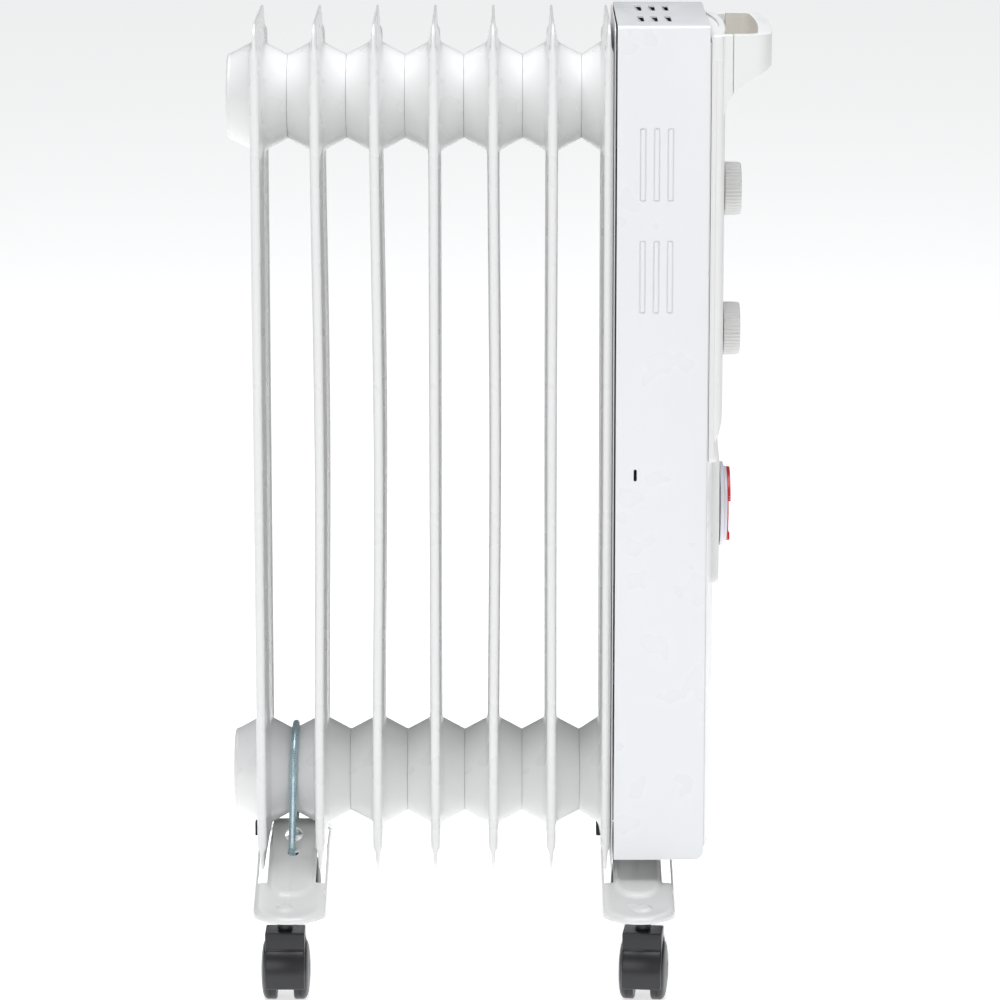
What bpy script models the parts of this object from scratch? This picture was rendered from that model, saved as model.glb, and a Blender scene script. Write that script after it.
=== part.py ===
"""Oil filled radiator heater on twin-wheel casters.

Seven pressed steel fins are joined by a top and a bottom header. The lower header holds the
heating elements. A sheet steel housing at the front end holds the switch, the thermostat, the
segment timer and the wiring, behind a moulded control panel with a carrying handle. Two pressed
feet, clamped to the lower header by U-bolts, carry four swivelling casters.

Units are metres and +Z is up. X runs along the headers, from the rear caps to the handle.
The object stands on Z = 0 and is centred on X = 0 and Y = 0.
"""
import math

import bmesh
import bpy
from mathutils import Matrix, Vector

MM = 0.001
GAP = 0.35 * MM
WELD = 0.001 * MM

# Overall
HEIGHT = 635.5 * MM
HALF_LENGTH = 176.1 * MM

# Fins and headers
FIN_COUNT = 7
FIN_PITCH = 38.05 * MM
FIRST_FIN_X = -155.8 * MM
LAST_FIN_X = 70.3 * MM
FIN_BOTTOM = 75.2 * MM
FIN_TOP = 635.2 * MM
FIN_HALF_DEPTH = 65.0 * MM
FIN_SHEET_HALF_DEPTH = 64.2 * MM
FIN_THICKNESS = 2.8 * MM
FIN_CORNER = 12.0 * MM
HEM_RADIUS = 3.05 * MM
HEM_END = 16.0 * MM
CHANNEL_HALF_DEPTH = 25.0 * MM
CHANNEL_REACH = 4.0 * MM
LAST_CHANNEL_REACH = 3.0 * MM
TOP_HEADER_Z = 581.7 * MM
BOTTOM_HEADER_Z = 128.9 * MM
COLLAR_RADIUS = 35.0 * MM
JUNCTION_RADIUS = 27.8 * MM
HEADER_BORE = 21.0 * MM
COLLAR_REACH = FIN_PITCH / 2 - GAP / 2
NECK_END_X = 96.8 * MM
CAP_THICKNESS = 1.0 * MM
CAP_EDGE = 1.2 * MM
PLUG_DEPTH = 4.0 * MM
COLLAR_SEGMENTS = 20

# Heating elements
ELEMENT_RADIUS = 3.5 * MM
ELEMENT_SPREAD = 8.0 * MM
ELEMENT_RISE = 6.5 * MM
LONG_ELEMENT_END_X = -140.0 * MM
SHORT_ELEMENT_END_X = -70.0 * MM
FLANGE_RADIUS = 26.0 * MM
FLANGE_THICKNESS = 3.0 * MM
FLANGE_HEX_RADIUS = 15.0 * MM
FLANGE_HEX_HEIGHT = 6.0 * MM
TERMINAL_RADIUS = 2.0 * MM
TERMINAL_LENGTH = 9.0 * MM

# Housing
HOUSING_REAR_X = 75.4 * MM
HOUSING_FRONT_X = 134.3 * MM
HOUSING_HALF_DEPTH = 70.0 * MM
HOUSING_BOTTOM = 86.5 * MM
HOUSING_BEND = 2.5 * MM
HOUSING_FOOT_CORNER = 6.0 * MM
SHEET = 1.0 * MM
BACK_PLATE_REAR_X = 73.7 * MM
BACK_PLATE_THICKNESS = 0.9 * MM
BACK_PLATE_HALF_DEPTH = 65.3 * MM
HEADER_HOLE = 36.2 * MM
LOUVRE_XS = (92.0 * MM, 100.8 * MM, 109.6 * MM)
LOUVRE_WIDTH = 2.6 * MM
LOUVRE_HEIGHT = 45.6 * MM
LOUVRE_ZS = (547.0 * MM, 474.5 * MM)
SIDE_SLOT_CENTRE = (88.1 * MM, 344.6 * MM)
SIDE_SLOT_SIZE = (2.1 * MM, 7.8 * MM)
VENT_XS = (90.8 * MM, 99.6 * MM, 108.3 * MM)
VENT_Y = 30.0 * MM
VENT_WIDTH = 4.5 * MM
VENT_LENGTH = 29.0 * MM

# Front plate, bowed in plan
FRONT_BOW_EDGE_X = 134.6 * MM
FRONT_BOW_RISE = 7.2 * MM
FRONT_HALF_WIDTH = 68.5 * MM
FRONT_BOTTOM = 95.2 * MM
FRONT_TOP = 625.0 * MM
BOW_STEPS = 12

# Control panel
PANEL_TOP = 629.2 * MM
PANEL_HALF_WIDTH = 68.0 * MM
PANEL_FACE_X = 146.5 * MM
PANEL_FACE_BOW = 3.4 * MM
PANEL_CORNER = 3.0 * MM
PANEL_STEP_Z = 367.5 * MM
PANEL_STEP_X = 142.9 * MM
PANEL_SIDE_BOTTOM = 352.2 * MM
TONGUE_HALF_WIDTH = 40.0 * MM
TONGUE_BOTTOM = 265.2 * MM
TONGUE_FACE_X = 145.2 * MM
TONGUE_SLOPE_Z = 343.0 * MM
SHAFT_HOLE = 5.2 * MM
LIP_HALF_WIDTH = 67.5 * MM
LIP_INSET = 0.1 * MM

# Handle
SEAM_X = 149.2 * MM
HANDLE_HALF_WIDTH = 65.0 * MM
CHEEK_THICKNESS = 7.0 * MM
HANDLE_BOW = 3.6 * MM
HANDLE_CORNER = 9.0 * MM
GRIP_THICKNESS = 9.0 * MM
UNDERSIDE_FRONT = ((176.5 * MM, 615.0 * MM), (175.4 * MM, 611.0 * MM), (171.6 * MM, 607.2 * MM))
UNDERSIDE_SLOPE = ((163.4 * MM, 602.2 * MM), (155.3 * MM, 597.2 * MM))
UNDERSIDE_SEAM_Z = 591.2 * MM
UNDERSIDE_REAR = ((145.8 * MM, 585.8 * MM), (143.9 * MM, 578.5 * MM), (142.6 * MM, 568.0 * MM))

# Knobs, switch and thermostat
POWER_Z = 521.2 * MM
THERMOSTAT_Z = 428.7 * MM
KNOB_RADIUS = 17.5 * MM
KNOB_FRONT_X = 157.8 * MM
KNOB_DOME = 1.0 * MM
KNOB_EDGE = 1.2 * MM
SPINDLE_RADIUS = 3.0 * MM
SPINDLE_REAR_X = 124.0 * MM
SPINDLE_FRONT_X = 153.0 * MM
BUSH_RADIUS = 4.6 * MM
BUSH_END_X = 142.8 * MM
CONTROL_FRONT_X = 139.6 * MM
SWITCH_SIZE = (26.0 * MM, 34.0 * MM, 34.0 * MM)
THERMOSTAT_SIZE = (24.0 * MM, 30.0 * MM, 42.0 * MM)

# Segment timer
TIMER_Z = 311.0 * MM
TIMER_FLANGE_RADIUS = 28.0 * MM
TIMER_FLANGE_FRONT_X = 148.2 * MM
TIMER_DRUM_RADIUS = 24.0 * MM
TIMER_DRUM_REAR_X = 112.0 * MM
TIMER_HOLE = 24.6 * MM
DIAL_RADIUS = 24.9 * MM
DIAL_THICKNESS = 1.6 * MM
DIAL_HUB_RADIUS = 12.0 * MM
DIAL_HUB_FRONT_X = 151.8 * MM
DIAL_SPINDLE_RADIUS = 2.5 * MM
TAPPET_INNER_RADIUS = 19.5 * MM
TAPPET_OUTER_RADIUS = 24.7 * MM
TAPPET_FRONT_X = 152.3 * MM

# Wiring parts inside the housing
TERMINAL_BLOCK_SIZE = (17.0 * MM, 46.0 * MM, 20.0 * MM)
TERMINAL_BLOCK_Z = 240.0 * MM
CUTOUT_RADIUS = 8.5 * MM
CUTOUT_THICKNESS = 7.0 * MM
CUTOUT_CENTRE = (42.0 * MM, 185.0 * MM)
GLAND_CENTRE = (118.0 * MM, 112.0 * MM)
GLAND_HOLE = 6.4 * MM

# Feet
REAR_FOOT_X = FIRST_FIN_X + FIN_PITCH / 2
FRONT_FOOT_X = 91.6 * MM
FOOT_HALF_WIDTH = 24.0 * MM
FOOT_HALF_LENGTH = 118.0 * MM
FOOT_SHEET = 1.6 * MM
FOOT_FLANGE = 9.0 * MM
FOOT_ARCH = ((0.0, 84.1 * MM), (24.0 * MM, 84.1 * MM), (31.0 * MM, 79.3 * MM), (60.0 * MM, 73.0 * MM),
             (82.0 * MM, 67.6 * MM), (99.0 * MM, 64.2 * MM), (110.0 * MM, 63.2 * MM), (118.0 * MM, 62.8 * MM))
FOOT_SLOT_OFFSET = FIN_PITCH / 2
FOOT_SLOT_WIDTH = 8.4 * MM
FOOT_SLOT_HALF_LENGTH = 67.0 * MM
FOOT_HOLE = 6.0 * MM
FOOT_HOLE_Y = 16.1 * MM
SADDLE_PROFILE = ((29.0 * MM, 80.7 * MM), (7.0 * MM, 93.4 * MM))
SADDLE_THICKNESS = 1.2 * FOOT_SHEET
SADDLE_OPENING = 26.0 * MM
FOOT_END_SEGMENTS = 8

# U-bolts, wing nuts and buffers
WIRE_RADIUS = 2.45 * MM
BOLT_RADIUS = JUNCTION_RADIUS + WIRE_RADIUS + 0.45 * MM
BOLT_END_Z = 62.0 * MM
BOLT_HOLE = 3.1 * MM
BOLT_ARCH_STEPS = 12
NUT_TOP_Z = 75.4 * MM
NUT_HEIGHT = 6.0 * MM
NUT_RADIUS = 5.0 * MM
NUT_BORE = 2.85 * MM
NUT_WING_SPAN = 22.0 * MM
NUT_WING_THICKNESS = 2.2 * MM
NUT_WING_DROP = 4.0 * MM
BUFFER_OFFSET = (-26.4 * MM, -23.4 * MM)
BUFFER_HALF_DEPTH = 6.0 * MM
BUFFER_HEIGHT = 9.0 * MM

# Casters: the stem stands on the swivel axis and the wheels trail behind it
CASTER_Y = 100.0 * MM
STEM_XS = {"rear": REAR_FOOT_X - 2.6 * MM, "front": FRONT_FOOT_X + 2.6 * MM}
CASTER_HEADINGS = {"rear_near": 0.0, "front_near": -6.0, "rear_far": 180.0, "front_far": 174.0}
TRAIL = 5.0 * MM
WHEEL_RADIUS = 20.0 * MM
WHEEL_SEGMENTS = 20
WHEEL_INNER = 5.6 * MM
WHEEL_OUTER = 14.6 * MM
WHEEL_DOME = 16.0 * MM
WHEEL_EDGE = 1.6 * MM
WHEEL_BORE = 2.9 * MM
AXLE_RADIUS = 2.5 * MM
AXLE_HALF_LENGTH = 13.2 * MM
HOOD_RADIUS = 22.6 * MM
HOOD_HALF_WIDTH = 12.9 * MM
HOOD_CLEARANCE = 20.8 * MM
HOOD_WEB = 5.2 * MM
HOOD_TOP_Z = 48.5 * MM
HOOD_TOP_HALF = 10.0 * MM
HOOD_FRONT_ANGLE = 201.0
HOOD_REAR_ANGLE = 22.0
HOOD_STEPS = 10
STEM_RADIUS = 5.0 * MM
STEM_TOP_Z = 61.7 * MM
PIN_RADIUS = 3.0 * MM
PIN_BORE = 3.4 * MM
PIN_BOTTOM_Z = 29.0 * MM
PIN_HOLE_BOTTOM_Z = 27.5 * MM

# Colour, roughness and metallic value of each finish
FINISHES = {
    "fin_paint": ((0.80, 0.80, 0.79), 0.30, 0.0),
    "housing_paint": ((0.82, 0.83, 0.84), 0.30, 0.0),
    "foot_paint": ((0.78, 0.78, 0.76), 0.28, 0.0),
    "panel_plastic": ((0.82, 0.82, 0.81), 0.42, 0.0),
    "knob_plastic": ((0.76, 0.76, 0.75), 0.45, 0.0),
    "timer_plastic": ((0.80, 0.80, 0.84), 0.40, 0.0),
    "tappet_plastic": ((0.70, 0.03, 0.04), 0.40, 0.0),
    "caster_plastic": ((0.03, 0.03, 0.035), 0.45, 0.0),
    "buffer_rubber": ((0.02, 0.02, 0.02), 0.75, 0.0),
    "zinc_wire": ((0.55, 0.68, 0.74), 0.28, 1.0),
    "steel": ((0.62, 0.62, 0.63), 0.35, 1.0),
    "inner_plastic": ((0.12, 0.12, 0.13), 0.55, 0.0),
}

# Local axes of a flat outline: its own x, y and thickness direction in the world
SIDE_PLANE = Matrix(((0, 0, 1, 0), (1, 0, 0, 0), (0, 1, 0, 0), (0, 0, 0, 1)))
ELEVATION_PLANE = Matrix(((1, 0, 0, 0), (0, 0, -1, 0), (0, 1, 0, 0), (0, 0, 0, 1)))
ALONG_X = Matrix.Rotation(math.radians(90), 4, "Y")
ALONG_Y = Matrix.Rotation(math.radians(-90), 4, "X")


# ---------------------------------------------------------------- scene helpers

def clear_scene():
    for item in list(bpy.data.objects):
        bpy.data.objects.remove(item, do_unlink=True)


def make_collection(name):
    collection = bpy.data.collections.new(name)
    bpy.context.scene.collection.children.link(collection)
    return collection


def make_material(name, finish):
    colour, roughness, metallic = FINISHES[finish]
    material = bpy.data.materials.new(name)
    material.use_nodes = True
    shader = material.node_tree.nodes["Principled BSDF"]
    shader.inputs["Base Color"].default_value = (*colour, 1.0)
    shader.inputs["Roughness"].default_value = roughness
    shader.inputs["Metallic"].default_value = metallic
    return material


def add_part(name, data, finish, matrix=None):
    """A named sub-part; a data block that is shared keeps its finish on the object."""
    part = bpy.data.objects.new(name, data)
    PARTS.objects.link(part)
    if not data.materials:
        data.materials.append(None)
    part.material_slots[0].link = "OBJECT"
    part.material_slots[0].material = make_material(name, finish)
    if matrix is not None:
        part.matrix_world = matrix
    return part


def add_cutter(name, data, matrix=None):
    cutter = bpy.data.objects.new(name, data)
    CUTTERS.objects.link(cutter)
    cutter.hide_render = True
    cutter.display_type = "WIRE"
    if matrix is not None:
        cutter.matrix_world = matrix
    return cutter


def combine(part, operation, *others):
    """Boolean modifiers on part: UNION, DIFFERENCE or INTERSECT with each of the others."""
    for other in others:
        modifier = part.modifiers.new(other.name, "BOOLEAN")
        modifier.operation = operation
        modifier.object = other
        modifier.solver = "EXACT"
    return part


def evaluated_mesh(source, name):
    """The source object's final mesh as a new mesh, its loose caps joined."""
    graph = bpy.context.evaluated_depsgraph_get()
    mesh = bpy.data.meshes.new_from_object(source.evaluated_get(graph))
    mesh.name = name
    work = bmesh.new()
    work.from_mesh(mesh)
    bmesh.ops.remove_doubles(work, verts=work.verts, dist=WELD)
    bmesh.ops.recalc_face_normals(work, faces=work.faces)
    work.to_mesh(mesh)
    work.free()
    return mesh


def frozen(source):
    """Replace a source object by its evaluated mesh, placed as the source was."""
    mesh = evaluated_mesh(source, source.name)
    mesh.transform(source.matrix_world)
    mesh.materials.clear()
    bpy.data.objects.remove(source, do_unlink=True)
    return mesh


# ---------------------------------------------------------------- shape helpers

def mesh_from(work, name):
    mesh = bpy.data.meshes.new(name)
    work.to_mesh(mesh)
    work.free()
    return mesh


def boxes_mesh(name, *corners):
    """One mesh of boxes, each given by its lowest and highest corner."""
    work = bmesh.new()
    for low, high in corners:
        size = Vector(high) - Vector(low)
        middle = (Vector(high) + Vector(low)) / 2
        place = Matrix.Translation(middle) @ Matrix.Diagonal((*size, 1.0))
        bmesh.ops.create_cube(work, size=1.0, matrix=place)
    return mesh_from(work, name)


def centred_box(name, centre, size):
    half = Vector(size) / 2
    return boxes_mesh(name, (Vector(centre) - half, Vector(centre) + half))


def cylinders_mesh(name, radius, segments, *spans):
    """One mesh of cylinders, each given by the centres of its two end faces."""
    work = bmesh.new()
    for start, end in spans:
        start = Vector(start)
        span = Vector(end) - start
        turn = Vector((0, 0, 1)).rotation_difference(span).to_matrix().to_4x4()
        place = Matrix.Translation(start + span / 2) @ turn
        bmesh.ops.create_cone(work, cap_ends=True, segments=segments, radius1=radius,
                              radius2=radius, depth=span.length, matrix=place)
    return mesh_from(work, name)


def profile_mesh(name, profile, closed=False):
    """An edge chain in the XZ plane: (radius, height) from top to bottom."""
    points = [(radius, 0.0, height) for radius, height in profile]
    edges = [(index, index + 1) for index in range(len(points) - 1)]
    if closed:
        edges.append((len(points) - 1, 0))
    mesh = bpy.data.meshes.new(name)
    mesh.from_pydata(points, edges, [])
    return mesh


def add_screw(item, segments):
    screw = item.modifiers.new("turned", "SCREW")
    screw.axis = "Z"
    screw.angle = 2 * math.pi
    screw.steps = segments
    screw.render_steps = segments
    screw.use_merge_vertices = True
    screw.merge_threshold = WELD
    screw.use_smooth_shade = True
    return item


def turned_part(name, profile, finish, segments, matrix, closed=False):
    return add_screw(add_part(name, profile_mesh(name, profile, closed), finish, matrix), segments)


def turned_mesh(name, profile, segments, matrix, closed=False):
    source = add_screw(add_cutter(name, profile_mesh(name, profile, closed), matrix), segments)
    return frozen(source)


def prism_mesh(name, outline, thickness, plane):
    """A flat outline given a thickness, half to each side of its plane."""
    curve = bpy.data.curves.new(name, "CURVE")
    curve.dimensions = "2D"
    curve.fill_mode = "BOTH"
    curve.extrude = thickness / 2
    spline = curve.splines.new("POLY")
    spline.points.add(len(outline) - 1)
    for point, (across, up) in zip(spline.points, outline):
        point.co = (across, up, 0.0, 1.0)
    spline.use_cyclic_u = True
    return frozen(add_cutter(name, curve, plane))


def add_wire(name, route, radius, finish):
    """A round wire along a chain of points, with closed ends."""
    curve = bpy.data.curves.new(name, "CURVE")
    curve.dimensions = "3D"
    curve.bevel_depth = radius
    curve.bevel_resolution = 2
    curve.use_fill_caps = True
    spline = curve.splines.new("POLY")
    spline.points.add(len(route) - 1)
    for point, place in zip(spline.points, route):
        point.co = (*place, 1.0)
    return add_part(name, curve, finish)


def arc(centre, radius, start, end, steps):
    """Points on an arc in a plane, with its angles in degrees."""
    angles = [math.radians(start + (end - start) * step / steps) for step in range(steps + 1)]
    return [(centre[0] + radius * math.cos(angle), centre[1] + radius * math.sin(angle))
            for angle in angles]


def rounded_rectangle(low, high, radius, steps=3):
    """An outline from its lower to its upper corner, its corners round."""
    centres = ((high[0] - radius, low[1] + radius, -90), (high[0] - radius, high[1] - radius, 0),
               (low[0] + radius, high[1] - radius, 90), (low[0] + radius, low[1] + radius, 180))
    outline = []
    for across, up, start in centres:
        outline += arc((across, up), radius, start, start + 90, steps)
    return outline


# ---------------------------------------------------------------- fins and headers

def at_x(plane, x):
    return Matrix.Translation((x, 0, 0)) @ plane


def header_axis(z, x=0.0):
    return Matrix.Translation((x, 0, z)) @ ALONG_X


def hem_profile():
    top = FIN_TOP - HEM_END
    bottom = FIN_BOTTOM + HEM_END
    shoulder = 0.7 * HEM_RADIUS
    return [(0, top), (shoulder, top - HEM_RADIUS / 3), (HEM_RADIUS, top - HEM_RADIUS),
            (HEM_RADIUS, bottom + HEM_RADIUS), (shoulder, bottom + HEM_RADIUS / 3), (0, bottom)]


def collar_profile(rear_reach, front_reach, channel_front, neck=0.0):
    profile = [(0, front_reach + neck), (JUNCTION_RADIUS, front_reach + neck)]
    if neck:
        profile.append((JUNCTION_RADIUS, front_reach))
    profile += [(COLLAR_RADIUS, channel_front), (COLLAR_RADIUS, -CHANNEL_REACH),
                (JUNCTION_RADIUS, -rear_reach), (0, -rear_reach)]
    return profile


def fin_mesh(name, rear_reach, channel_front, neck):
    """A fin about its own plane: sheet, folded edges, oil channel and bored collars."""
    sheet_outline = rounded_rectangle((-FIN_SHEET_HALF_DEPTH, FIN_BOTTOM),
                                      (FIN_SHEET_HALF_DEPTH, FIN_TOP), FIN_CORNER)
    body = add_cutter(name, prism_mesh(name, sheet_outline, FIN_THICKNESS, SIDE_PLANE))
    additions = []
    for side in (-1, 1):
        place = Matrix.Translation((0, side * (FIN_HALF_DEPTH - HEM_RADIUS), 0))
        additions.append(add_cutter("hem", turned_mesh("hem", hem_profile(), 8, place)))
    channel_outline = rounded_rectangle((-CHANNEL_HALF_DEPTH, BOTTOM_HEADER_Z),
                                        (CHANNEL_HALF_DEPTH, TOP_HEADER_Z), FIN_CORNER / 2, 1)
    channel_middle = (channel_front - CHANNEL_REACH) / 2
    channel = add_cutter("channel", prism_mesh("channel", channel_outline,
                                               channel_front + CHANNEL_REACH, SIDE_PLANE))
    channel.location.x = channel_middle
    additions.append(channel)
    for z, extra in ((TOP_HEADER_Z, 0.0), (BOTTOM_HEADER_Z, neck)):
        profile = collar_profile(rear_reach, COLLAR_REACH, channel_front, extra)
        additions.append(add_cutter("collar", turned_mesh("collar", profile, COLLAR_SEGMENTS,
                                                          header_axis(z))))
    combine(body, "UNION", *additions)
    far = 4 * FIN_PITCH
    bores = [((-far, 0, z), (far, 0, z)) for z in (TOP_HEADER_Z, BOTTOM_HEADER_Z)]
    bore = add_cutter("bore", cylinders_mesh("bore", HEADER_BORE, COLLAR_SEGMENTS, *bores))
    combine(body, "DIFFERENCE", bore)
    mesh = frozen(body)
    for helper in (*additions, bore):
        bpy.data.objects.remove(helper, do_unlink=True)
    return mesh


def fin_positions():
    return [FIRST_FIN_X + index * FIN_PITCH for index in range(FIN_COUNT - 1)] + [LAST_FIN_X]


def make_fins():
    shared = fin_mesh("fin", COLLAR_REACH, CHANNEL_REACH, 0.0)
    last_reach = LAST_FIN_X - fin_positions()[-2] - COLLAR_REACH - GAP
    neck = NECK_END_X - LAST_FIN_X - COLLAR_REACH
    last = fin_mesh("last_fin", last_reach, LAST_CHANNEL_REACH, neck)
    for number, x in enumerate(fin_positions(), start=1):
        mesh = last if number == FIN_COUNT else shared
        add_part(f"fin_{number}", mesh, "fin_paint", Matrix.Translation((x, 0, 0)))


def cap_profile():
    """A dished disc whose plug closes the header bore, its outer face on top."""
    outer = CAP_THICKNESS + GAP
    return [(0, outer), (JUNCTION_RADIUS - CAP_EDGE, outer), (JUNCTION_RADIUS, GAP + CAP_THICKNESS / 3),
            (JUNCTION_RADIUS, GAP), (HEADER_BORE - GAP, GAP), (HEADER_BORE - GAP, -PLUG_DEPTH),
            (0, -PLUG_DEPTH)]


def make_header_caps():
    rear_x = FIRST_FIN_X - COLLAR_REACH
    front_x = LAST_FIN_X + COLLAR_REACH
    facing_rear = Matrix.Rotation(math.radians(180), 4, "Z")
    for name, x, z, turn in (("header_cap_top_rear", rear_x, TOP_HEADER_Z, facing_rear),
                             ("header_cap_bottom_rear", rear_x, BOTTOM_HEADER_Z, facing_rear),
                             ("header_cap_top_front", front_x, TOP_HEADER_Z, Matrix())):
        place = Matrix.Translation((x, 0, z)) @ turn @ ALONG_X
        turned_part(name, cap_profile(), "fin_paint", COLLAR_SEGMENTS, place)


def make_element_flange():
    """The screwed flange in the lower header's mouth, with its terminals."""
    start = GAP
    face = start + FLANGE_THICKNESS
    profile = [(0, face), (FLANGE_RADIUS, face), (FLANGE_RADIUS, start), (HEADER_BORE - GAP, start),
               (HEADER_BORE - GAP, -PLUG_DEPTH), (0, -PLUG_DEPTH)]
    place = header_axis(BOTTOM_HEADER_Z, NECK_END_X)
    flange = add_part("element_flange", turned_mesh("element_flange", profile, COLLAR_SEGMENTS, place),
                      "steel")
    face_x = NECK_END_X + face
    hex_end = face_x + FLANGE_HEX_HEIGHT
    inside = face_x - FLANGE_THICKNESS / 2
    hexagon = cylinders_mesh("flange_hexagon", FLANGE_HEX_RADIUS, 6,
                             ((inside, 0, BOTTOM_HEADER_Z), (hex_end, 0, BOTTOM_HEADER_Z)))
    spans = []
    for y in (-ELEMENT_SPREAD, ELEMENT_SPREAD):
        for z in (BOTTOM_HEADER_Z - ELEMENT_RISE, BOTTOM_HEADER_Z + ELEMENT_RISE):
            spans.append(((hex_end - FLANGE_HEX_HEIGHT / 2, y, z), (hex_end + TERMINAL_LENGTH, y, z)))
    pins = cylinders_mesh("flange_terminals", TERMINAL_RADIUS, 10, *spans)
    combine(flange, "UNION", add_cutter("flange_hexagon", hexagon), add_cutter("flange_terminals", pins))


def make_heating_elements():
    """Two hairpin elements in the oil of the lower header."""
    start_x = NECK_END_X - PLUG_DEPTH - GAP
    for name, end_x, z in (("heating_element_long", LONG_ELEMENT_END_X, BOTTOM_HEADER_Z - ELEMENT_RISE),
                           ("heating_element_short", SHORT_ELEMENT_END_X, BOTTOM_HEADER_Z + ELEMENT_RISE)):
        bend = [(x, y, z) for x, y in arc((end_x, 0), ELEMENT_SPREAD, -90, -270, 8)]
        route = [(start_x, -ELEMENT_SPREAD, z), *bend, (start_x, ELEMENT_SPREAD, z)]
        add_wire(name, route, ELEMENT_RADIUS, "steel")


# ---------------------------------------------------------------- housing

def bow(y, edge_x, rise, half_width):
    """X of a face that is bowed in plan."""
    return edge_x + rise * (1 - (y / half_width) ** 2)


def front_bow(y):
    return bow(y, FRONT_BOW_EDGE_X, FRONT_BOW_RISE, HOUSING_HALF_DEPTH)


def panel_bow(y):
    return bow(y, PANEL_FACE_X - PANEL_FACE_BOW, PANEL_FACE_BOW, HANDLE_HALF_WIDTH)


def across(half_width, steps=BOW_STEPS):
    """Y stations from the near to the far side."""
    return [half_width * (2 * step / steps - 1) for step in range(steps + 1)]


def make_back_plate():
    outline = rounded_rectangle((-BACK_PLATE_HALF_DEPTH, FIN_BOTTOM), (BACK_PLATE_HALF_DEPTH, FIN_TOP),
                                FIN_CORNER)
    plane = at_x(SIDE_PLANE, BACK_PLATE_REAR_X + BACK_PLATE_THICKNESS / 2)
    plate = add_part("back_plate", prism_mesh("back_plate", outline, BACK_PLATE_THICKNESS, plane),
                     "housing_paint")
    spans = [((0, 0, z), (HOUSING_FRONT_X, 0, z)) for z in (TOP_HEADER_Z, BOTTOM_HEADER_Z)]
    holes = cylinders_mesh("header_holes", HEADER_HOLE, COLLAR_SEGMENTS, *spans)
    combine(plate, "DIFFERENCE", add_cutter("header_holes", holes))


def housing_openings():
    """Boxes for the side louvres, the small side slots and the top vents."""
    out = HOUSING_HALF_DEPTH + 5 * SHEET
    boxes = []
    slots = [(x, z, LOUVRE_WIDTH, LOUVRE_HEIGHT) for x in LOUVRE_XS for z in LOUVRE_ZS]
    slots.append((*SIDE_SLOT_CENTRE, *SIDE_SLOT_SIZE))
    for x, z, width, height in slots:
        boxes.append(((x - width / 2, -out, z - height / 2), (x + width / 2, out, z + height / 2)))
    for x in VENT_XS:
        for y in (-VENT_Y, VENT_Y):
            low = (x - VENT_WIDTH / 2, y - VENT_LENGTH / 2, HEIGHT - 5 * SHEET)
            boxes.append((low, (x + VENT_WIDTH / 2, y + VENT_LENGTH / 2, HEIGHT + 5 * SHEET)))
    return boxes


def make_housing_cover():
    """Near side, top and far side in one bent sheet."""
    depth = HOUSING_HALF_DEPTH
    outer = HOUSING_BEND
    inner = HOUSING_BEND - SHEET
    outline = [(depth, HOUSING_BOTTOM)]
    outline += arc((depth - outer, HEIGHT - outer), outer, 0, 90, 3)
    outline += arc((outer - depth, HEIGHT - outer), outer, 90, 180, 3)
    outline += [(-depth, HOUSING_BOTTOM), (SHEET - depth, HOUSING_BOTTOM)]
    outline += arc((outer - depth, HEIGHT - outer), inner, 180, 90, 3)
    outline += arc((depth - outer, HEIGHT - outer), inner, 90, 0, 3)
    outline += [(depth - SHEET, HOUSING_BOTTOM)]
    length = HOUSING_FRONT_X - HOUSING_REAR_X
    plane = at_x(SIDE_PLANE, HOUSING_REAR_X + length / 2)
    cover = add_part("housing_cover", prism_mesh("housing_cover", outline, length, plane),
                     "housing_paint")
    openings = add_cutter("housing_openings", boxes_mesh("housing_openings", *housing_openings()))
    corner = HOUSING_FOOT_CORNER
    centre = (HOUSING_FRONT_X - corner + GAP, HOUSING_BOTTOM + corner - GAP)
    trim_outline = [(centre[0] + 2 * corner, centre[1] - 2 * corner),
                    (centre[0] + 2 * corner, centre[1])]
    trim_outline += arc(centre, corner, 0, -90, 4)
    trim_outline.append((centre[0], centre[1] - 2 * corner))
    trim = add_cutter("housing_corner", prism_mesh("housing_corner", trim_outline, 4 * depth,
                                                   ELEVATION_PLANE))
    x, z = GLAND_CENTRE
    gland_span = ((x, HOUSING_HALF_DEPTH / 2, z), (x, 2 * HOUSING_HALF_DEPTH, z))
    gland = add_cutter("gland_hole", cylinders_mesh("gland_hole", GLAND_HOLE, 16, gland_span))
    combine(cover, "DIFFERENCE", openings, trim, gland)
    overlap = SHEET - LIP_INSET
    lip_low = (HOUSING_FRONT_X - SHEET - LIP_INSET, overlap - depth, FRONT_TOP + GAP)
    lip_high = (HOUSING_FRONT_X - LIP_INSET, depth - overlap, HEIGHT - overlap)
    combine(cover, "UNION", add_cutter("cover_lip", boxes_mesh("cover_lip", (lip_low, lip_high))))


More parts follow.
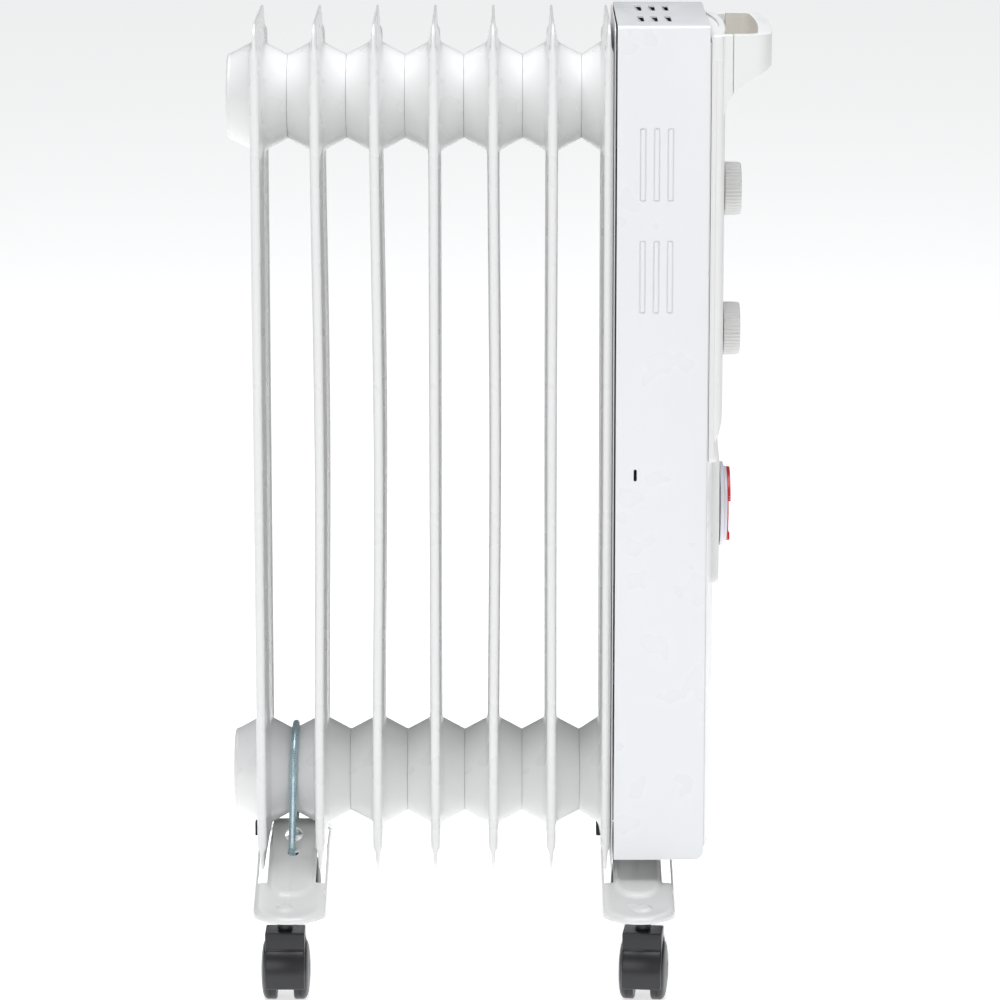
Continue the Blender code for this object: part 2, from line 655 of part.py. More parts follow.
def make_front_plate():
    stations = across(FRONT_HALF_WIDTH)
    outline = [(front_bow(y), y) for y in stations]
    outline += [(front_bow(y) - SHEET, y) for y in reversed(stations)]
    plane = Matrix.Translation((0, 0, (FRONT_TOP + FRONT_BOTTOM) / 2))
    plate = add_part("front_plate", prism_mesh("front_plate", outline, FRONT_TOP - FRONT_BOTTOM, plane),
                     "housing_paint")
    shafts = [((HOUSING_REAR_X, 0, z), (HALF_LENGTH, 0, z)) for z in (POWER_Z, THERMOSTAT_Z)]
    shaft_holes = add_cutter("front_shaft_holes",
                             cylinders_mesh("front_shaft_holes", SHAFT_HOLE, 16, *shafts))
    timer_span = ((HOUSING_REAR_X, 0, TIMER_Z), (HALF_LENGTH, 0, TIMER_Z))
    timer_hole = add_cutter("front_timer_hole",
                            cylinders_mesh("front_timer_hole", TIMER_HOLE, COLLAR_SEGMENTS, timer_span))
    combine(plate, "DIFFERENCE", shaft_holes, timer_hole)


# ---------------------------------------------------------------- control panel and handle

def panel_side_profile():
    """The panel seen from the side: upper face, step, and the sloped tongue below it."""
    rear = FRONT_BOW_EDGE_X - PANEL_CORNER
    return [(rear, TONGUE_BOTTOM), (rear, PANEL_TOP), (PANEL_FACE_X + SHEET, PANEL_TOP),
            (PANEL_FACE_X + SHEET, PANEL_STEP_Z + PANEL_CORNER), (PANEL_FACE_X - SHEET, PANEL_STEP_Z),
            (PANEL_STEP_X, PANEL_STEP_Z - SHEET), (TONGUE_FACE_X, TONGUE_SLOPE_Z),
            (TONGUE_FACE_X, TONGUE_BOTTOM)]


def cheek_mesh(name, outline, y):
    plane = Matrix.Translation((0, y, 0)) @ ELEVATION_PLANE
    return prism_mesh(name, outline, CHEEK_THICKNESS, plane)


def panel_lip_mesh():
    """A ledge that closes the space between the straight cover and the bowed front plate."""
    rear = HOUSING_FRONT_X + GAP
    outline = [(rear, LIP_HALF_WIDTH), (rear, -LIP_HALF_WIDTH)]
    outline += [(front_bow(y) + GAP + SHEET, y) for y in across(LIP_HALF_WIDTH)]
    bottom = FRONT_TOP + GAP
    top = PANEL_TOP - LIP_INSET
    return prism_mesh("panel_lip", outline, top - bottom, Matrix.Translation((0, 0, (top + bottom) / 2)))


def make_control_panel():
    stations = across(PANEL_HALF_WIDTH)
    inner_stations = across(PANEL_HALF_WIDTH - PANEL_CORNER)
    outline = [(front_bow(y) + GAP, y) for y in stations]
    outline.append((panel_bow(PANEL_HALF_WIDTH) - PANEL_CORNER, PANEL_HALF_WIDTH))
    outline += [(panel_bow(y), y) for y in reversed(inner_stations)]
    outline.append((panel_bow(PANEL_HALF_WIDTH) - PANEL_CORNER, -PANEL_HALF_WIDTH))
    height = PANEL_TOP - TONGUE_BOTTOM
    plane = Matrix.Translation((0, 0, (PANEL_TOP + TONGUE_BOTTOM) / 2))
    panel = add_part("control_panel", prism_mesh("control_panel", outline, height, plane),
                     "panel_plastic")
    side = add_cutter("panel_side", prism_mesh("panel_side", panel_side_profile(),
                                               4 * PANEL_HALF_WIDTH, ELEVATION_PLANE))
    combine(panel, "INTERSECT", side)
    far = 2 * PANEL_HALF_WIDTH
    shoulders = [((0, TONGUE_HALF_WIDTH, 0), (HALF_LENGTH, far, PANEL_SIDE_BOTTOM)),
                 ((0, -far, 0), (HALF_LENGTH, -TONGUE_HALF_WIDTH, PANEL_SIDE_BOTTOM))]
    trims = add_cutter("panel_shoulders", boxes_mesh("panel_shoulders", *shoulders))
    combine(panel, "DIFFERENCE", trims)
    combine(panel, "UNION", add_cutter("panel_lip", panel_lip_mesh()))
    stub_front = SEAM_X - GAP / 2
    stub_outline = [(PANEL_STEP_X, PANEL_TOP), (PANEL_STEP_X, UNDERSIDE_REAR[-1][1])]
    stub_outline += list(reversed(UNDERSIDE_REAR[:-1]))
    stub_outline += [(stub_front, UNDERSIDE_SEAM_Z), (stub_front, PANEL_TOP)]
    cheek_y = HANDLE_HALF_WIDTH - CHEEK_THICKNESS / 2
    for name, y in (("near_stub", -cheek_y), ("far_stub", cheek_y)):
        combine(panel, "UNION", add_cutter(name, cheek_mesh(name, stub_outline, y)))
    shafts = [((0, 0, z), (HALF_LENGTH, 0, z)) for z in (POWER_Z, THERMOSTAT_Z)]
    shaft_holes = add_cutter("panel_shaft_holes",
                             cylinders_mesh("panel_shaft_holes", SHAFT_HOLE, 16, *shafts))
    timer_span = ((0, 0, TIMER_Z), (HALF_LENGTH, 0, TIMER_Z))
    timer_hole = add_cutter("panel_timer_hole",
                            cylinders_mesh("panel_timer_hole", TIMER_HOLE, COLLAR_SEGMENTS, timer_span))
    combine(panel, "DIFFERENCE", shaft_holes, timer_hole)


def handle_bow(y, inset=0.0):
    return HALF_LENGTH - inset - HANDLE_BOW * (y / HANDLE_HALF_WIDTH) ** 2


def make_handle():
    """A loop of two cheeks and a bowed grip, joined to the panel at a seam."""
    rear = SEAM_X + GAP / 2
    straight = across(HANDLE_HALF_WIDTH - HANDLE_CORNER, 12)
    corner_x = handle_bow(HANDLE_HALF_WIDTH) - HANDLE_CORNER
    corner_y = HANDLE_HALF_WIDTH - HANDLE_CORNER
    outline = [(rear, -HANDLE_HALF_WIDTH)]
    outline += arc((corner_x, -corner_y), HANDLE_CORNER, -90, -30, 4)
    outline += [(handle_bow(y), y) for y in straight]
    outline += arc((corner_x, corner_y), HANDLE_CORNER, 30, 90, 4)
    outline.append((rear, HANDLE_HALF_WIDTH))
    side_outline = [(rear - SHEET, PANEL_TOP), (rear - SHEET, UNDERSIDE_SEAM_Z - SHEET / 2)]
    side_outline += list(reversed(UNDERSIDE_SLOPE)) + list(reversed(UNDERSIDE_FRONT))
    side_outline.append((UNDERSIDE_FRONT[0][0], PANEL_TOP))
    height = PANEL_TOP - FRONT_TOP + 2 * (FRONT_TOP - UNDERSIDE_SEAM_Z)
    plan = Matrix.Translation((0, 0, PANEL_TOP - height / 2))
    handle = add_part("handle", prism_mesh("handle", outline, height, plan), "panel_plastic")
    side = add_cutter("handle_side", prism_mesh("handle_side", side_outline, 4 * HANDLE_HALF_WIDTH,
                                                ELEVATION_PLANE))
    slot_half = HANDLE_HALF_WIDTH - CHEEK_THICKNESS
    slot_stations = across(slot_half, 12)
    slot_outline = [(rear - 4 * SHEET, -slot_half)]
    slot_outline += [(handle_bow(y, GRIP_THICKNESS), y) for y in slot_stations]
    slot_outline.append((rear - 4 * SHEET, slot_half))
    slot = add_cutter("grip_slot", prism_mesh("grip_slot", slot_outline, HEIGHT, plan))
    combine(handle, "INTERSECT", side)
    combine(handle, "DIFFERENCE", slot)


# ---------------------------------------------------------------- knobs, switch, thermostat and timer

def knob_profile():
    rear = PANEL_FACE_X + GAP
    bore = SPINDLE_RADIUS + GAP
    bore_end = SPINDLE_FRONT_X + GAP
    return [(0, KNOB_FRONT_X), (KNOB_RADIUS * 0.7, KNOB_FRONT_X - KNOB_DOME / 3),
            (KNOB_RADIUS - KNOB_EDGE, KNOB_FRONT_X - KNOB_DOME),
            (KNOB_RADIUS, KNOB_FRONT_X - KNOB_DOME - KNOB_EDGE), (KNOB_RADIUS, rear), (bore, rear),
            (bore, bore_end), (0, bore_end)]


def make_rotary_control(body_name, prefix, z, size):
    """A switch or thermostat body with its bush, and the spindle and knob that turn in it."""
    centre = (CONTROL_FRONT_X - size[0] / 2, 0, z)
    body = add_part(body_name, centred_box(body_name, centre, size), "inner_plastic")
    bush_name = f"{prefix}_bush"
    bush_span = ((CONTROL_FRONT_X - 2 * SHEET, 0, z), (BUSH_END_X, 0, z))
    bush = add_cutter(bush_name, cylinders_mesh(bush_name, BUSH_RADIUS, 16, bush_span))
    bore_name = f"{prefix}_bore"
    bore_span = ((SPINDLE_REAR_X - GAP, 0, z), (HALF_LENGTH, 0, z))
    bore = add_cutter(bore_name, cylinders_mesh(bore_name, SPINDLE_RADIUS + GAP, 16, bore_span))
    combine(body, "UNION", bush)
    combine(body, "DIFFERENCE", bore)
    axis = header_axis(z)
    spindle_profile = [(0, SPINDLE_FRONT_X), (SPINDLE_RADIUS, SPINDLE_FRONT_X),
                       (SPINDLE_RADIUS, SPINDLE_REAR_X), (0, SPINDLE_REAR_X)]
    turned_part(f"{prefix}_spindle", spindle_profile, "steel", 16, axis)
    turned_part(f"{prefix}_knob", knob_profile(), "knob_plastic", 24, axis)


def make_timer():
    axis = header_axis(TIMER_Z)
    flange_rear = TONGUE_FACE_X + GAP
    seat = TIMER_FLANGE_FRONT_X
    bore = DIAL_SPINDLE_RADIUS + GAP
    bore_end = flange_rear - 3 * SHEET
    body_profile = [(0, bore_end), (bore, bore_end), (bore, seat), (TIMER_FLANGE_RADIUS - SHEET, seat),
                    (TIMER_FLANGE_RADIUS, seat - SHEET), (TIMER_FLANGE_RADIUS, flange_rear),
                    (TIMER_DRUM_RADIUS, flange_rear), (TIMER_DRUM_RADIUS, TIMER_DRUM_REAR_X),
                    (0, TIMER_DRUM_REAR_X)]
    turned_part("timer_body", body_profile, "timer_plastic", COLLAR_SEGMENTS, axis)
    dial_rear = seat + GAP
    dial_face = dial_rear + DIAL_THICKNESS
    dial_profile = [(0, DIAL_HUB_FRONT_X), (DIAL_HUB_RADIUS - SHEET, DIAL_HUB_FRONT_X),
                    (DIAL_HUB_RADIUS, DIAL_HUB_FRONT_X - SHEET), (DIAL_HUB_RADIUS, dial_face),
                    (DIAL_RADIUS, dial_face), (DIAL_RADIUS, dial_rear), (DIAL_SPINDLE_RADIUS, dial_rear),
                    (DIAL_SPINDLE_RADIUS, bore_end + GAP), (0, bore_end + GAP)]
    turned_part("timer_dial", dial_profile, "timer_plastic", COLLAR_SEGMENTS, axis)
    ring_rear = dial_face + GAP
    ring_profile = [(TAPPET_INNER_RADIUS, TAPPET_FRONT_X), (TAPPET_OUTER_RADIUS, TAPPET_FRONT_X),
                    (TAPPET_OUTER_RADIUS, ring_rear), (TAPPET_INNER_RADIUS, ring_rear)]
    turned_part("timer_tappets", ring_profile, "tappet_plastic", COLLAR_SEGMENTS, axis, closed=True)


def make_wiring_parts():
    wall = BACK_PLATE_REAR_X + BACK_PLATE_THICKNESS + GAP
    block_centre = (wall + TERMINAL_BLOCK_SIZE[0] / 2, 0, TERMINAL_BLOCK_Z)
    add_part("terminal_block", centred_box("terminal_block", block_centre, TERMINAL_BLOCK_SIZE),
             "inner_plastic")
    y, z = CUTOUT_CENTRE
    cutout_profile = [(0, CUTOUT_THICKNESS), (CUTOUT_RADIUS * 0.7, CUTOUT_THICKNESS),
                      (CUTOUT_RADIUS, CUTOUT_THICKNESS / 2), (CUTOUT_RADIUS, 0), (0, 0)]
    turned_part("thermal_cutout", cutout_profile, "steel", 16, Matrix.Translation((wall, y, z)) @ ALONG_X)
    side = HOUSING_HALF_DEPTH + GAP
    neck = GLAND_HOLE - GAP
    outlet = 3.8 * MM
    gland_profile = [(outlet, 16 * MM), (5.2 * MM, 16 * MM), (7.0 * MM, 5 * MM), (9.0 * MM, 3.5 * MM),
                     (9.0 * MM, GAP), (neck, GAP), (neck, -6 * MM), (outlet, -6 * MM)]
    x, z = GLAND_CENTRE
    place = Matrix.Translation((x, side - GAP, z)) @ ALONG_Y
    turned_part("cable_gland", gland_profile, "inner_plastic", 16, place, closed=True)


# ---------------------------------------------------------------- feet

def arch_outline(drop, thickness, half_length):
    """The foot from the side: the arch lowered by drop, and a band of the given thickness below it."""
    right = [(min(y, half_length), z - drop) for y, z in FOOT_ARCH]
    top = [(-y, z) for y, z in reversed(right)] + right[1:]
    return top + [(y, z - thickness) for y, z in reversed(top)]


def stadium(half_width, half_length):
    """A plan outline with round ends, long in Y."""
    straight = half_length - half_width
    far_end = arc((0, straight), half_width, 0, 180, FOOT_END_SEGMENTS)
    near_end = arc((0, -straight), half_width, 180, 360, FOOT_END_SEGMENTS)
    return far_end + near_end


def foot_layer(name, half_width, half_length, drop, thickness):
    """An arched band cut to a plan with round ends, about the foot's own centre."""
    band = prism_mesh(name, arch_outline(drop, thickness, FOOT_HALF_LENGTH), 4 * half_width, SIDE_PLANE)
    plan = add_cutter(name, prism_mesh(name, stadium(half_width, half_length), 2 * HEIGHT, Matrix()))
    layer = combine(add_cutter(name, band), "INTERSECT", plan)
    mesh = frozen(layer)
    bpy.data.objects.remove(plan, do_unlink=True)
    return add_cutter(name, mesh)


def saddle_mesh():
    """The raised middle of the foot, which bears against the header between two fins."""
    upper = [(-y, z) for y, z in SADDLE_PROFILE] + [(y, z) for y, z in reversed(SADDLE_PROFILE)]
    lower = [(y, z - SADDLE_THICKNESS) for y, z in reversed(upper)]
    width = 2 * FOOT_SLOT_OFFSET - FOOT_SLOT_WIDTH
    return prism_mesh("foot_saddle", upper + lower, width, SIDE_PLANE)


def foot_mesh():
    outer = foot_layer("foot_outer", FOOT_HALF_WIDTH, FOOT_HALF_LENGTH, 0.0, FOOT_FLANGE)
    hollow = foot_layer("foot_hollow", FOOT_HALF_WIDTH - FOOT_SHEET, FOOT_HALF_LENGTH - FOOT_SHEET,
                        FOOT_SHEET, 2 * FOOT_FLANGE)
    combine(outer, "DIFFERENCE", hollow)
    slots = []
    for x in (-FOOT_SLOT_OFFSET, FOOT_SLOT_OFFSET):
        half = FOOT_SLOT_WIDTH / 2
        slots.append(((x - half, -FOOT_SLOT_HALF_LENGTH, 0), (x + half, FOOT_SLOT_HALF_LENGTH, HEIGHT)))
    slot_cutter = add_cutter("foot_slots", boxes_mesh("foot_slots", *slots))
    window_box = ((-FOOT_SLOT_OFFSET, -SADDLE_OPENING, 0), (FOOT_SLOT_OFFSET, SADDLE_OPENING, HEIGHT))
    window = add_cutter("foot_window", boxes_mesh("foot_window", window_box))
    saddle = add_cutter("foot_saddle", saddle_mesh())
    holes = [((0, y, 0), (0, y, HEIGHT)) for y in (-FOOT_HOLE_Y, FOOT_HOLE_Y)]
    hole = add_cutter("foot_holes", cylinders_mesh("foot_holes", FOOT_HOLE, 16, *holes))
    legs = [((0, y, 0), (0, y, HEIGHT)) for y in (-BOLT_RADIUS, BOLT_RADIUS)]
    leg_holes = add_cutter("foot_leg_holes", cylinders_mesh("foot_leg_holes", BOLT_HOLE, 12, *legs))
    combine(outer, "DIFFERENCE", slot_cutter, window)
    combine(outer, "UNION", saddle)
    combine(outer, "DIFFERENCE", hole, leg_holes)
    helpers = (hollow, slot_cutter, window, saddle, hole, leg_holes)
    mesh = frozen(outer)
    for helper in helpers:
        bpy.data.objects.remove(helper, do_unlink=True)
    return mesh


def u_bolt_route(x):
    arch = [(x, y, BOTTOM_HEADER_Z + rise) for y, rise in arc((0, 0), BOLT_RADIUS, 180, 0, BOLT_ARCH_STEPS)]
    return [(x, -BOLT_RADIUS, BOLT_END_Z), *arch, (x, BOLT_RADIUS, BOLT_END_Z)]


def wing_nut_mesh():
    """A nut with two wings, about the bolt leg's axis."""
    hub_span = ((0, 0, NUT_TOP_Z - NUT_HEIGHT), (0, 0, NUT_TOP_Z))
    hub = add_cutter("nut_hub", cylinders_mesh("nut_hub", NUT_RADIUS, 12, hub_span))
    half = NUT_WING_THICKNESS / 2
    low_z = NUT_TOP_Z - NUT_HEIGHT - NUT_WING_DROP
    high_z = NUT_TOP_Z - SHEET
    wing_box = ((-NUT_WING_SPAN / 2, -half, low_z), (NUT_WING_SPAN / 2, half, high_z))
    wings = add_cutter("nut_wings", boxes_mesh("nut_wings", wing_box))
    relief_box = ((-NUT_RADIUS, -NUT_RADIUS, low_z - SHEET),
                  (NUT_RADIUS, NUT_RADIUS, NUT_TOP_Z - NUT_HEIGHT))
    relief = add_cutter("nut_relief", boxes_mesh("nut_relief", relief_box))
    bore = add_cutter("nut_bore", cylinders_mesh("nut_bore", NUT_BORE, 12, ((0, 0, 0), (0, 0, HEIGHT))))
    combine(hub, "UNION", wings)
    combine(hub, "DIFFERENCE", relief, bore)
    mesh = frozen(hub)
    for helper in (wings, relief, bore):
        bpy.data.objects.remove(helper, do_unlink=True)
    return mesh


def make_feet():
    foot = foot_mesh()
    nut = wing_nut_mesh()
    for end, x in (("rear", REAR_FOOT_X), ("front", FRONT_FOOT_X)):
        add_part(f"foot_bracket_{end}", foot, "foot_paint", Matrix.Translation((x, 0, 0)))
        add_wire(f"u_bolt_{end}", u_bolt_route(x), WIRE_RADIUS, "zinc_wire")
        for side, y in (("near", -BOLT_RADIUS), ("far", BOLT_RADIUS)):
            add_part(f"wing_nut_{end}_{side}", nut, "steel", Matrix.Translation((x, y, 0)))
        low = (x + BUFFER_OFFSET[0], -BUFFER_HALF_DEPTH, FOOT_ARCH[0][1] + GAP)
        high = (x + BUFFER_OFFSET[1], BUFFER_HALF_DEPTH, FOOT_ARCH[0][1] + GAP + BUFFER_HEIGHT)
        name = f"rubber_buffer_{end}"
        add_part(name, boxes_mesh(name, (low, high)), "buffer_rubber")


# ---------------------------------------------------------------- casters

def hood_outline():
    """The hood from the side: a fender about the axle with a flat top under the stem."""
    axle = (TRAIL, WHEEL_RADIUS)
    rise = math.degrees(math.asin((HOOD_TOP_HALF - TRAIL) / HOOD_RADIUS))
    front_turn = math.degrees(math.asin((HOOD_TOP_HALF + TRAIL) / HOOD_RADIUS))
    outline = arc(axle, HOOD_RADIUS, HOOD_REAR_ANGLE, 90 - rise, HOOD_STEPS // 2)
    outline += [(HOOD_TOP_HALF, HOOD_TOP_Z), (-HOOD_TOP_HALF, HOOD_TOP_Z)]
    outline += arc(axle, HOOD_RADIUS, 90 + front_turn, HOOD_FRONT_ANGLE, HOOD_STEPS // 2)
    outline.append((TRAIL, WHEEL_RADIUS / 2))
    return outline


def hood_mesh():
    """A web between the wheels that carries the axle, under a fender that covers both treads."""
    hood = add_cutter("hood", prism_mesh("hood", hood_outline(), 2 * HOOD_HALF_WIDTH, SIDE_PLANE))
    spans = [((side * HOOD_WEB, TRAIL, WHEEL_RADIUS), (side * 2 * HOOD_HALF_WIDTH, TRAIL, WHEEL_RADIUS))
             for side in (-1, 1)]
    wells = add_cutter("wheel_wells", cylinders_mesh("wheel_wells", HOOD_CLEARANCE, WHEEL_SEGMENTS, *spans))
    axle_span = ((-HOOD_HALF_WIDTH, TRAIL, WHEEL_RADIUS), (HOOD_HALF_WIDTH, TRAIL, WHEEL_RADIUS))
    axle_hole = add_cutter("axle_hole", cylinders_mesh("axle_hole", WHEEL_BORE, 16, axle_span))
    pin_span = ((0, 0, PIN_HOLE_BOTTOM_Z), (0, 0, HEIGHT))
    pin_hole = add_cutter("pin_hole", cylinders_mesh("pin_hole", PIN_BORE, 16, pin_span))
    combine(hood, "DIFFERENCE", wells, axle_hole, pin_hole)
    mesh = frozen(hood)
    for helper in (wells, axle_hole, pin_hole):
        bpy.data.objects.remove(helper, do_unlink=True)
    return mesh


def wheel_mesh(side):
    """A domed wheel with a blind bore, its tread flat where it meets the floor."""
    rim = WHEEL_RADIUS / math.cos(math.pi / WHEEL_SEGMENTS)
    bore_end = AXLE_HALF_LENGTH + GAP
    profile = [(0, WHEEL_DOME), (rim * 0.5, WHEEL_DOME - 0.4 * MM), (rim - WHEEL_EDGE, WHEEL_OUTER),
               (rim, WHEEL_OUTER - WHEEL_EDGE), (rim, WHEEL_INNER + WHEEL_EDGE / 2),
               (rim - WHEEL_EDGE / 2, WHEEL_INNER), (WHEEL_BORE, WHEEL_INNER), (WHEEL_BORE, bore_end),
               (0, bore_end)]
    turn = Matrix() if side > 0 else Matrix.Rotation(math.radians(180), 4, "Z")
    flat_down = Matrix.Rotation(math.pi / WHEEL_SEGMENTS, 4, "Z")
    return turned_mesh("wheel", profile, WHEEL_SEGMENTS, turn @ ALONG_X @ flat_down)


def make_casters():
    hood = hood_mesh()
    stem_profile = [(0, STEM_TOP_Z), (STEM_RADIUS, STEM_TOP_Z), (STEM_RADIUS, HOOD_TOP_Z + GAP),
                    (PIN_RADIUS, HOOD_TOP_Z + GAP), (PIN_RADIUS, PIN_BOTTOM_Z), (0, PIN_BOTTOM_Z)]
    stem = turned_mesh("stem", stem_profile, 12, Matrix())
    axle = cylinders_mesh("axle", AXLE_RADIUS, 16, ((-AXLE_HALF_LENGTH, 0, 0), (AXLE_HALF_LENGTH, 0, 0)))
    wheels = {"a": wheel_mesh(-1), "b": wheel_mesh(1)}
    axle_place = Matrix.Translation((0, TRAIL, WHEEL_RADIUS))
    for corner, heading in CASTER_HEADINGS.items():
        end, side = corner.split("_")
        foot_place = Matrix.Translation((STEM_XS[end], -CASTER_Y if side == "near" else CASTER_Y, 0))
        place = foot_place @ Matrix.Rotation(math.radians(heading), 4, "Z")
        add_part(f"caster_stem_{corner}", stem, "caster_plastic", foot_place)
        add_part(f"caster_hood_{corner}", hood, "caster_plastic", place)
        add_part(f"caster_axle_{corner}", axle, "steel", place @ axle_place)
        for letter, wheel in wheels.items():
            add_part(f"caster_wheel_{corner}_{letter}", wheel, "caster_plastic", place @ axle_place)


clear_scene()
PARTS = make_collection("oil_filled_radiator_heater")
CUTTERS = make_collection("cutters")
make_fins()
make_header_caps()
make_element_flange()
make_heating_elements()
make_back_plate()
make_housing_cover()
make_front_plate()
make_control_panel()
make_handle()
make_rotary_control("power_switch", "power", POWER_Z, SWITCH_SIZE)
make_rotary_control("thermostat", "thermostat", THERMOSTAT_Z, THERMOSTAT_SIZE)
make_timer()
make_wiring_parts()
make_feet()
make_casters()
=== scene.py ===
"""Looks of the oil filled radiator heater: fine surfaces, materials, light and camera.

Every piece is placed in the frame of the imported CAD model, in metres, +Z up. X runs along the
headers from the rear caps to the handle, and Y across the fins. CAD nodes are only hidden behind
the finer pieces that stand for them, or given a better material.
"""
import math

import bmesh
import bpy
from mathutils import Matrix, Vector


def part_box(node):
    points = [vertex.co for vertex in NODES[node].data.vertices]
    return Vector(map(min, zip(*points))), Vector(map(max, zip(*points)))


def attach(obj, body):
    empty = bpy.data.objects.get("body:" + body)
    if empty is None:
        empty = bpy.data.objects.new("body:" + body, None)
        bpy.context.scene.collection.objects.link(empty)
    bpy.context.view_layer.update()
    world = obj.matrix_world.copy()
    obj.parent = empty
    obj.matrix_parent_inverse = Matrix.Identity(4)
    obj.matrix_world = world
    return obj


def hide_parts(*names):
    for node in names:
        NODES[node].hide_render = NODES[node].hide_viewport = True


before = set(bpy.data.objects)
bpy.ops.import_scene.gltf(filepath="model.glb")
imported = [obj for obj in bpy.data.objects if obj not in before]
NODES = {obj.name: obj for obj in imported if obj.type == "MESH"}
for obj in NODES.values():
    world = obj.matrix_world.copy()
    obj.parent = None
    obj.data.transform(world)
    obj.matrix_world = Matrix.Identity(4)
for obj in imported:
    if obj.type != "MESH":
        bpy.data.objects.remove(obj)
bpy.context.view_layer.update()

MM = 0.001
WELD = 0.002 * MM
ROOT = "radiator"
# Turns a lathe's axis from +X to +Z
UPRIGHT = Matrix.Rotation(-math.pi / 2, 4, "Y")


# ---------------------------------------------------------------- small geometry

def smooth(value):
    value = min(max(value, 0.0), 1.0)
    return value * value * (3 - 2 * value)


def blend(start, end, share):
    return start + (end - start) * share


def arc(centre, radius, start, end, steps):
    """Points on an arc in a plane, with its angles in degrees."""
    angles = [math.radians(start + (end - start) * step / steps) for step in range(steps + 1)]
    return [(centre[0] + radius * math.cos(angle), centre[1] + radius * math.sin(angle))
            for angle in angles]


def spread(low, high, steps):
    return [low + (high - low) * step / steps for step in range(steps + 1)]


def middle(node):
    low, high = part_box(node)
    return (low + high) / 2


def mesh_of(name, points, faces):
    """A welded mesh with its faces pointing out."""
    mesh = bpy.data.meshes.new(name)
    mesh.from_pydata([tuple(point) for point in points], [], faces)
    work = bmesh.new()
    work.from_mesh(mesh)
    bmesh.ops.remove_doubles(work, verts=work.verts, dist=WELD)
    bmesh.ops.dissolve_degenerate(work, edges=work.edges, dist=WELD)
    bmesh.ops.recalc_face_normals(work, faces=work.faces)
    work.to_mesh(mesh)
    work.free()
    return mesh


def loft_faces(rings, closed=True, first=0):
    """Quads between chains of equal length, numbered from first."""
    count = len(rings[0])
    last = count if closed else count - 1
    faces = []
    for ring in range(len(rings) - 1):
        for step in range(last):
            here = first + ring * count
            follow = (step + 1) % count
            faces.append((here + step, here + follow, here + count + follow, here + count + step))
    return faces


def loft_mesh(name, rings, capped=True):
    """A closed skin through rings of equal length."""
    points = [point for ring in rings for point in ring]
    faces = loft_faces(rings)
    if capped:
        count = len(rings[0])
        faces.append(tuple(range(count - 1, -1, -1)))
        faces.append(tuple(range(len(points) - count, len(points))))
    return mesh_of(name, points, faces)


def lathe_mesh(name, profile, segments, closed=False, wave=None):
    """A turned shape about +X: the profile holds (radius, place along X). wave(angle, radius, x)
    gives a radius that changes round the shape."""
    rings = []
    for radius, along in profile:
        ring = []
        for step in range(segments):
            angle = 2 * math.pi * step / segments
            reach = wave(angle, radius, along) if wave else radius
            ring.append((along, reach * math.cos(angle), reach * math.sin(angle)))
        rings.append(ring)
    if closed:
        rings.append(rings[0])
    return loft_mesh(name, rings, capped=False)


def tube_mesh(name, route, radii, sides):
    """A round bar along a smooth route in a plane of constant X lean, with closed ends."""
    points = [Vector(place) for place in route]
    rings = []
    across = Vector((1, 0, 0))
    for index, place in enumerate(points):
        before = points[max(index - 1, 0)]
        after = points[min(index + 1, len(points) - 1)]
        along = (after - before).normalized()
        side = (across - along * across.dot(along)).normalized()
        other = along.cross(side)
        rings.append([place + radii[index] * (math.cos(turn) * side + math.sin(turn) * other)
                      for turn in spread(0, 2 * math.pi, sides)[:-1]])
    return loft_mesh(name, rings)


def prism_mesh(name, outline, start, end, axis):
    """A flat outline pushed from start to end along the axis "x", "y" or "z"."""
    places = {"x": lambda a, b, c: (c, a, b), "y": lambda a, b, c: (a, c, b),
              "z": lambda a, b, c: (a, b, c)}
    return loft_mesh(name, [[places[axis](a, b, level) for a, b in outline] for level in (start, end)])


def boxes_mesh(name, boxes):
    points = []
    faces = []
    for low, high in boxes:
        first = len(points)
        for z in (low[2], high[2]):
            points += [(low[0], low[1], z), (high[0], low[1], z), (high[0], high[1], z),
                       (low[0], high[1], z)]
        faces += [tuple(first + corner for corner in face)
                  for face in ((3, 2, 1, 0), (4, 5, 6, 7), (0, 1, 5, 4), (1, 2, 6, 5),
                               (2, 3, 7, 6), (3, 0, 4, 7))]
    mesh = bpy.data.meshes.new(name)
    mesh.from_pydata(points, [], faces)
    return mesh


def rods_mesh(name, spans, radius, segments):
    """Plain round rods between pairs of points."""
    work = bmesh.new()
    for start, end in spans:
        start = Vector(start)
        span = Vector(end) - start
        turn = Vector((0, 0, 1)).rotation_difference(span).to_matrix().to_4x4()
        bmesh.ops.create_cone(work, cap_ends=True, segments=segments, radius1=radius, radius2=radius,
                              depth=span.length, matrix=Matrix.Translation(start + span / 2) @ turn)
    mesh = bpy.data.meshes.new(name)
    work.to_mesh(mesh)
    work.free()
    return mesh


def rounded_rectangle(low, high, radius, steps=6):
    centres = ((high[0] - radius, low[1] + radius, -90), (high[0] - radius, high[1] - radius, 0),
               (low[0] + radius, high[1] - radius, 90), (low[0] + radius, low[1] + radius, 180))
    outline = []
    for across, up, start in centres:
        outline += arc((across, up), radius, start, start + 90, steps)
    return outline


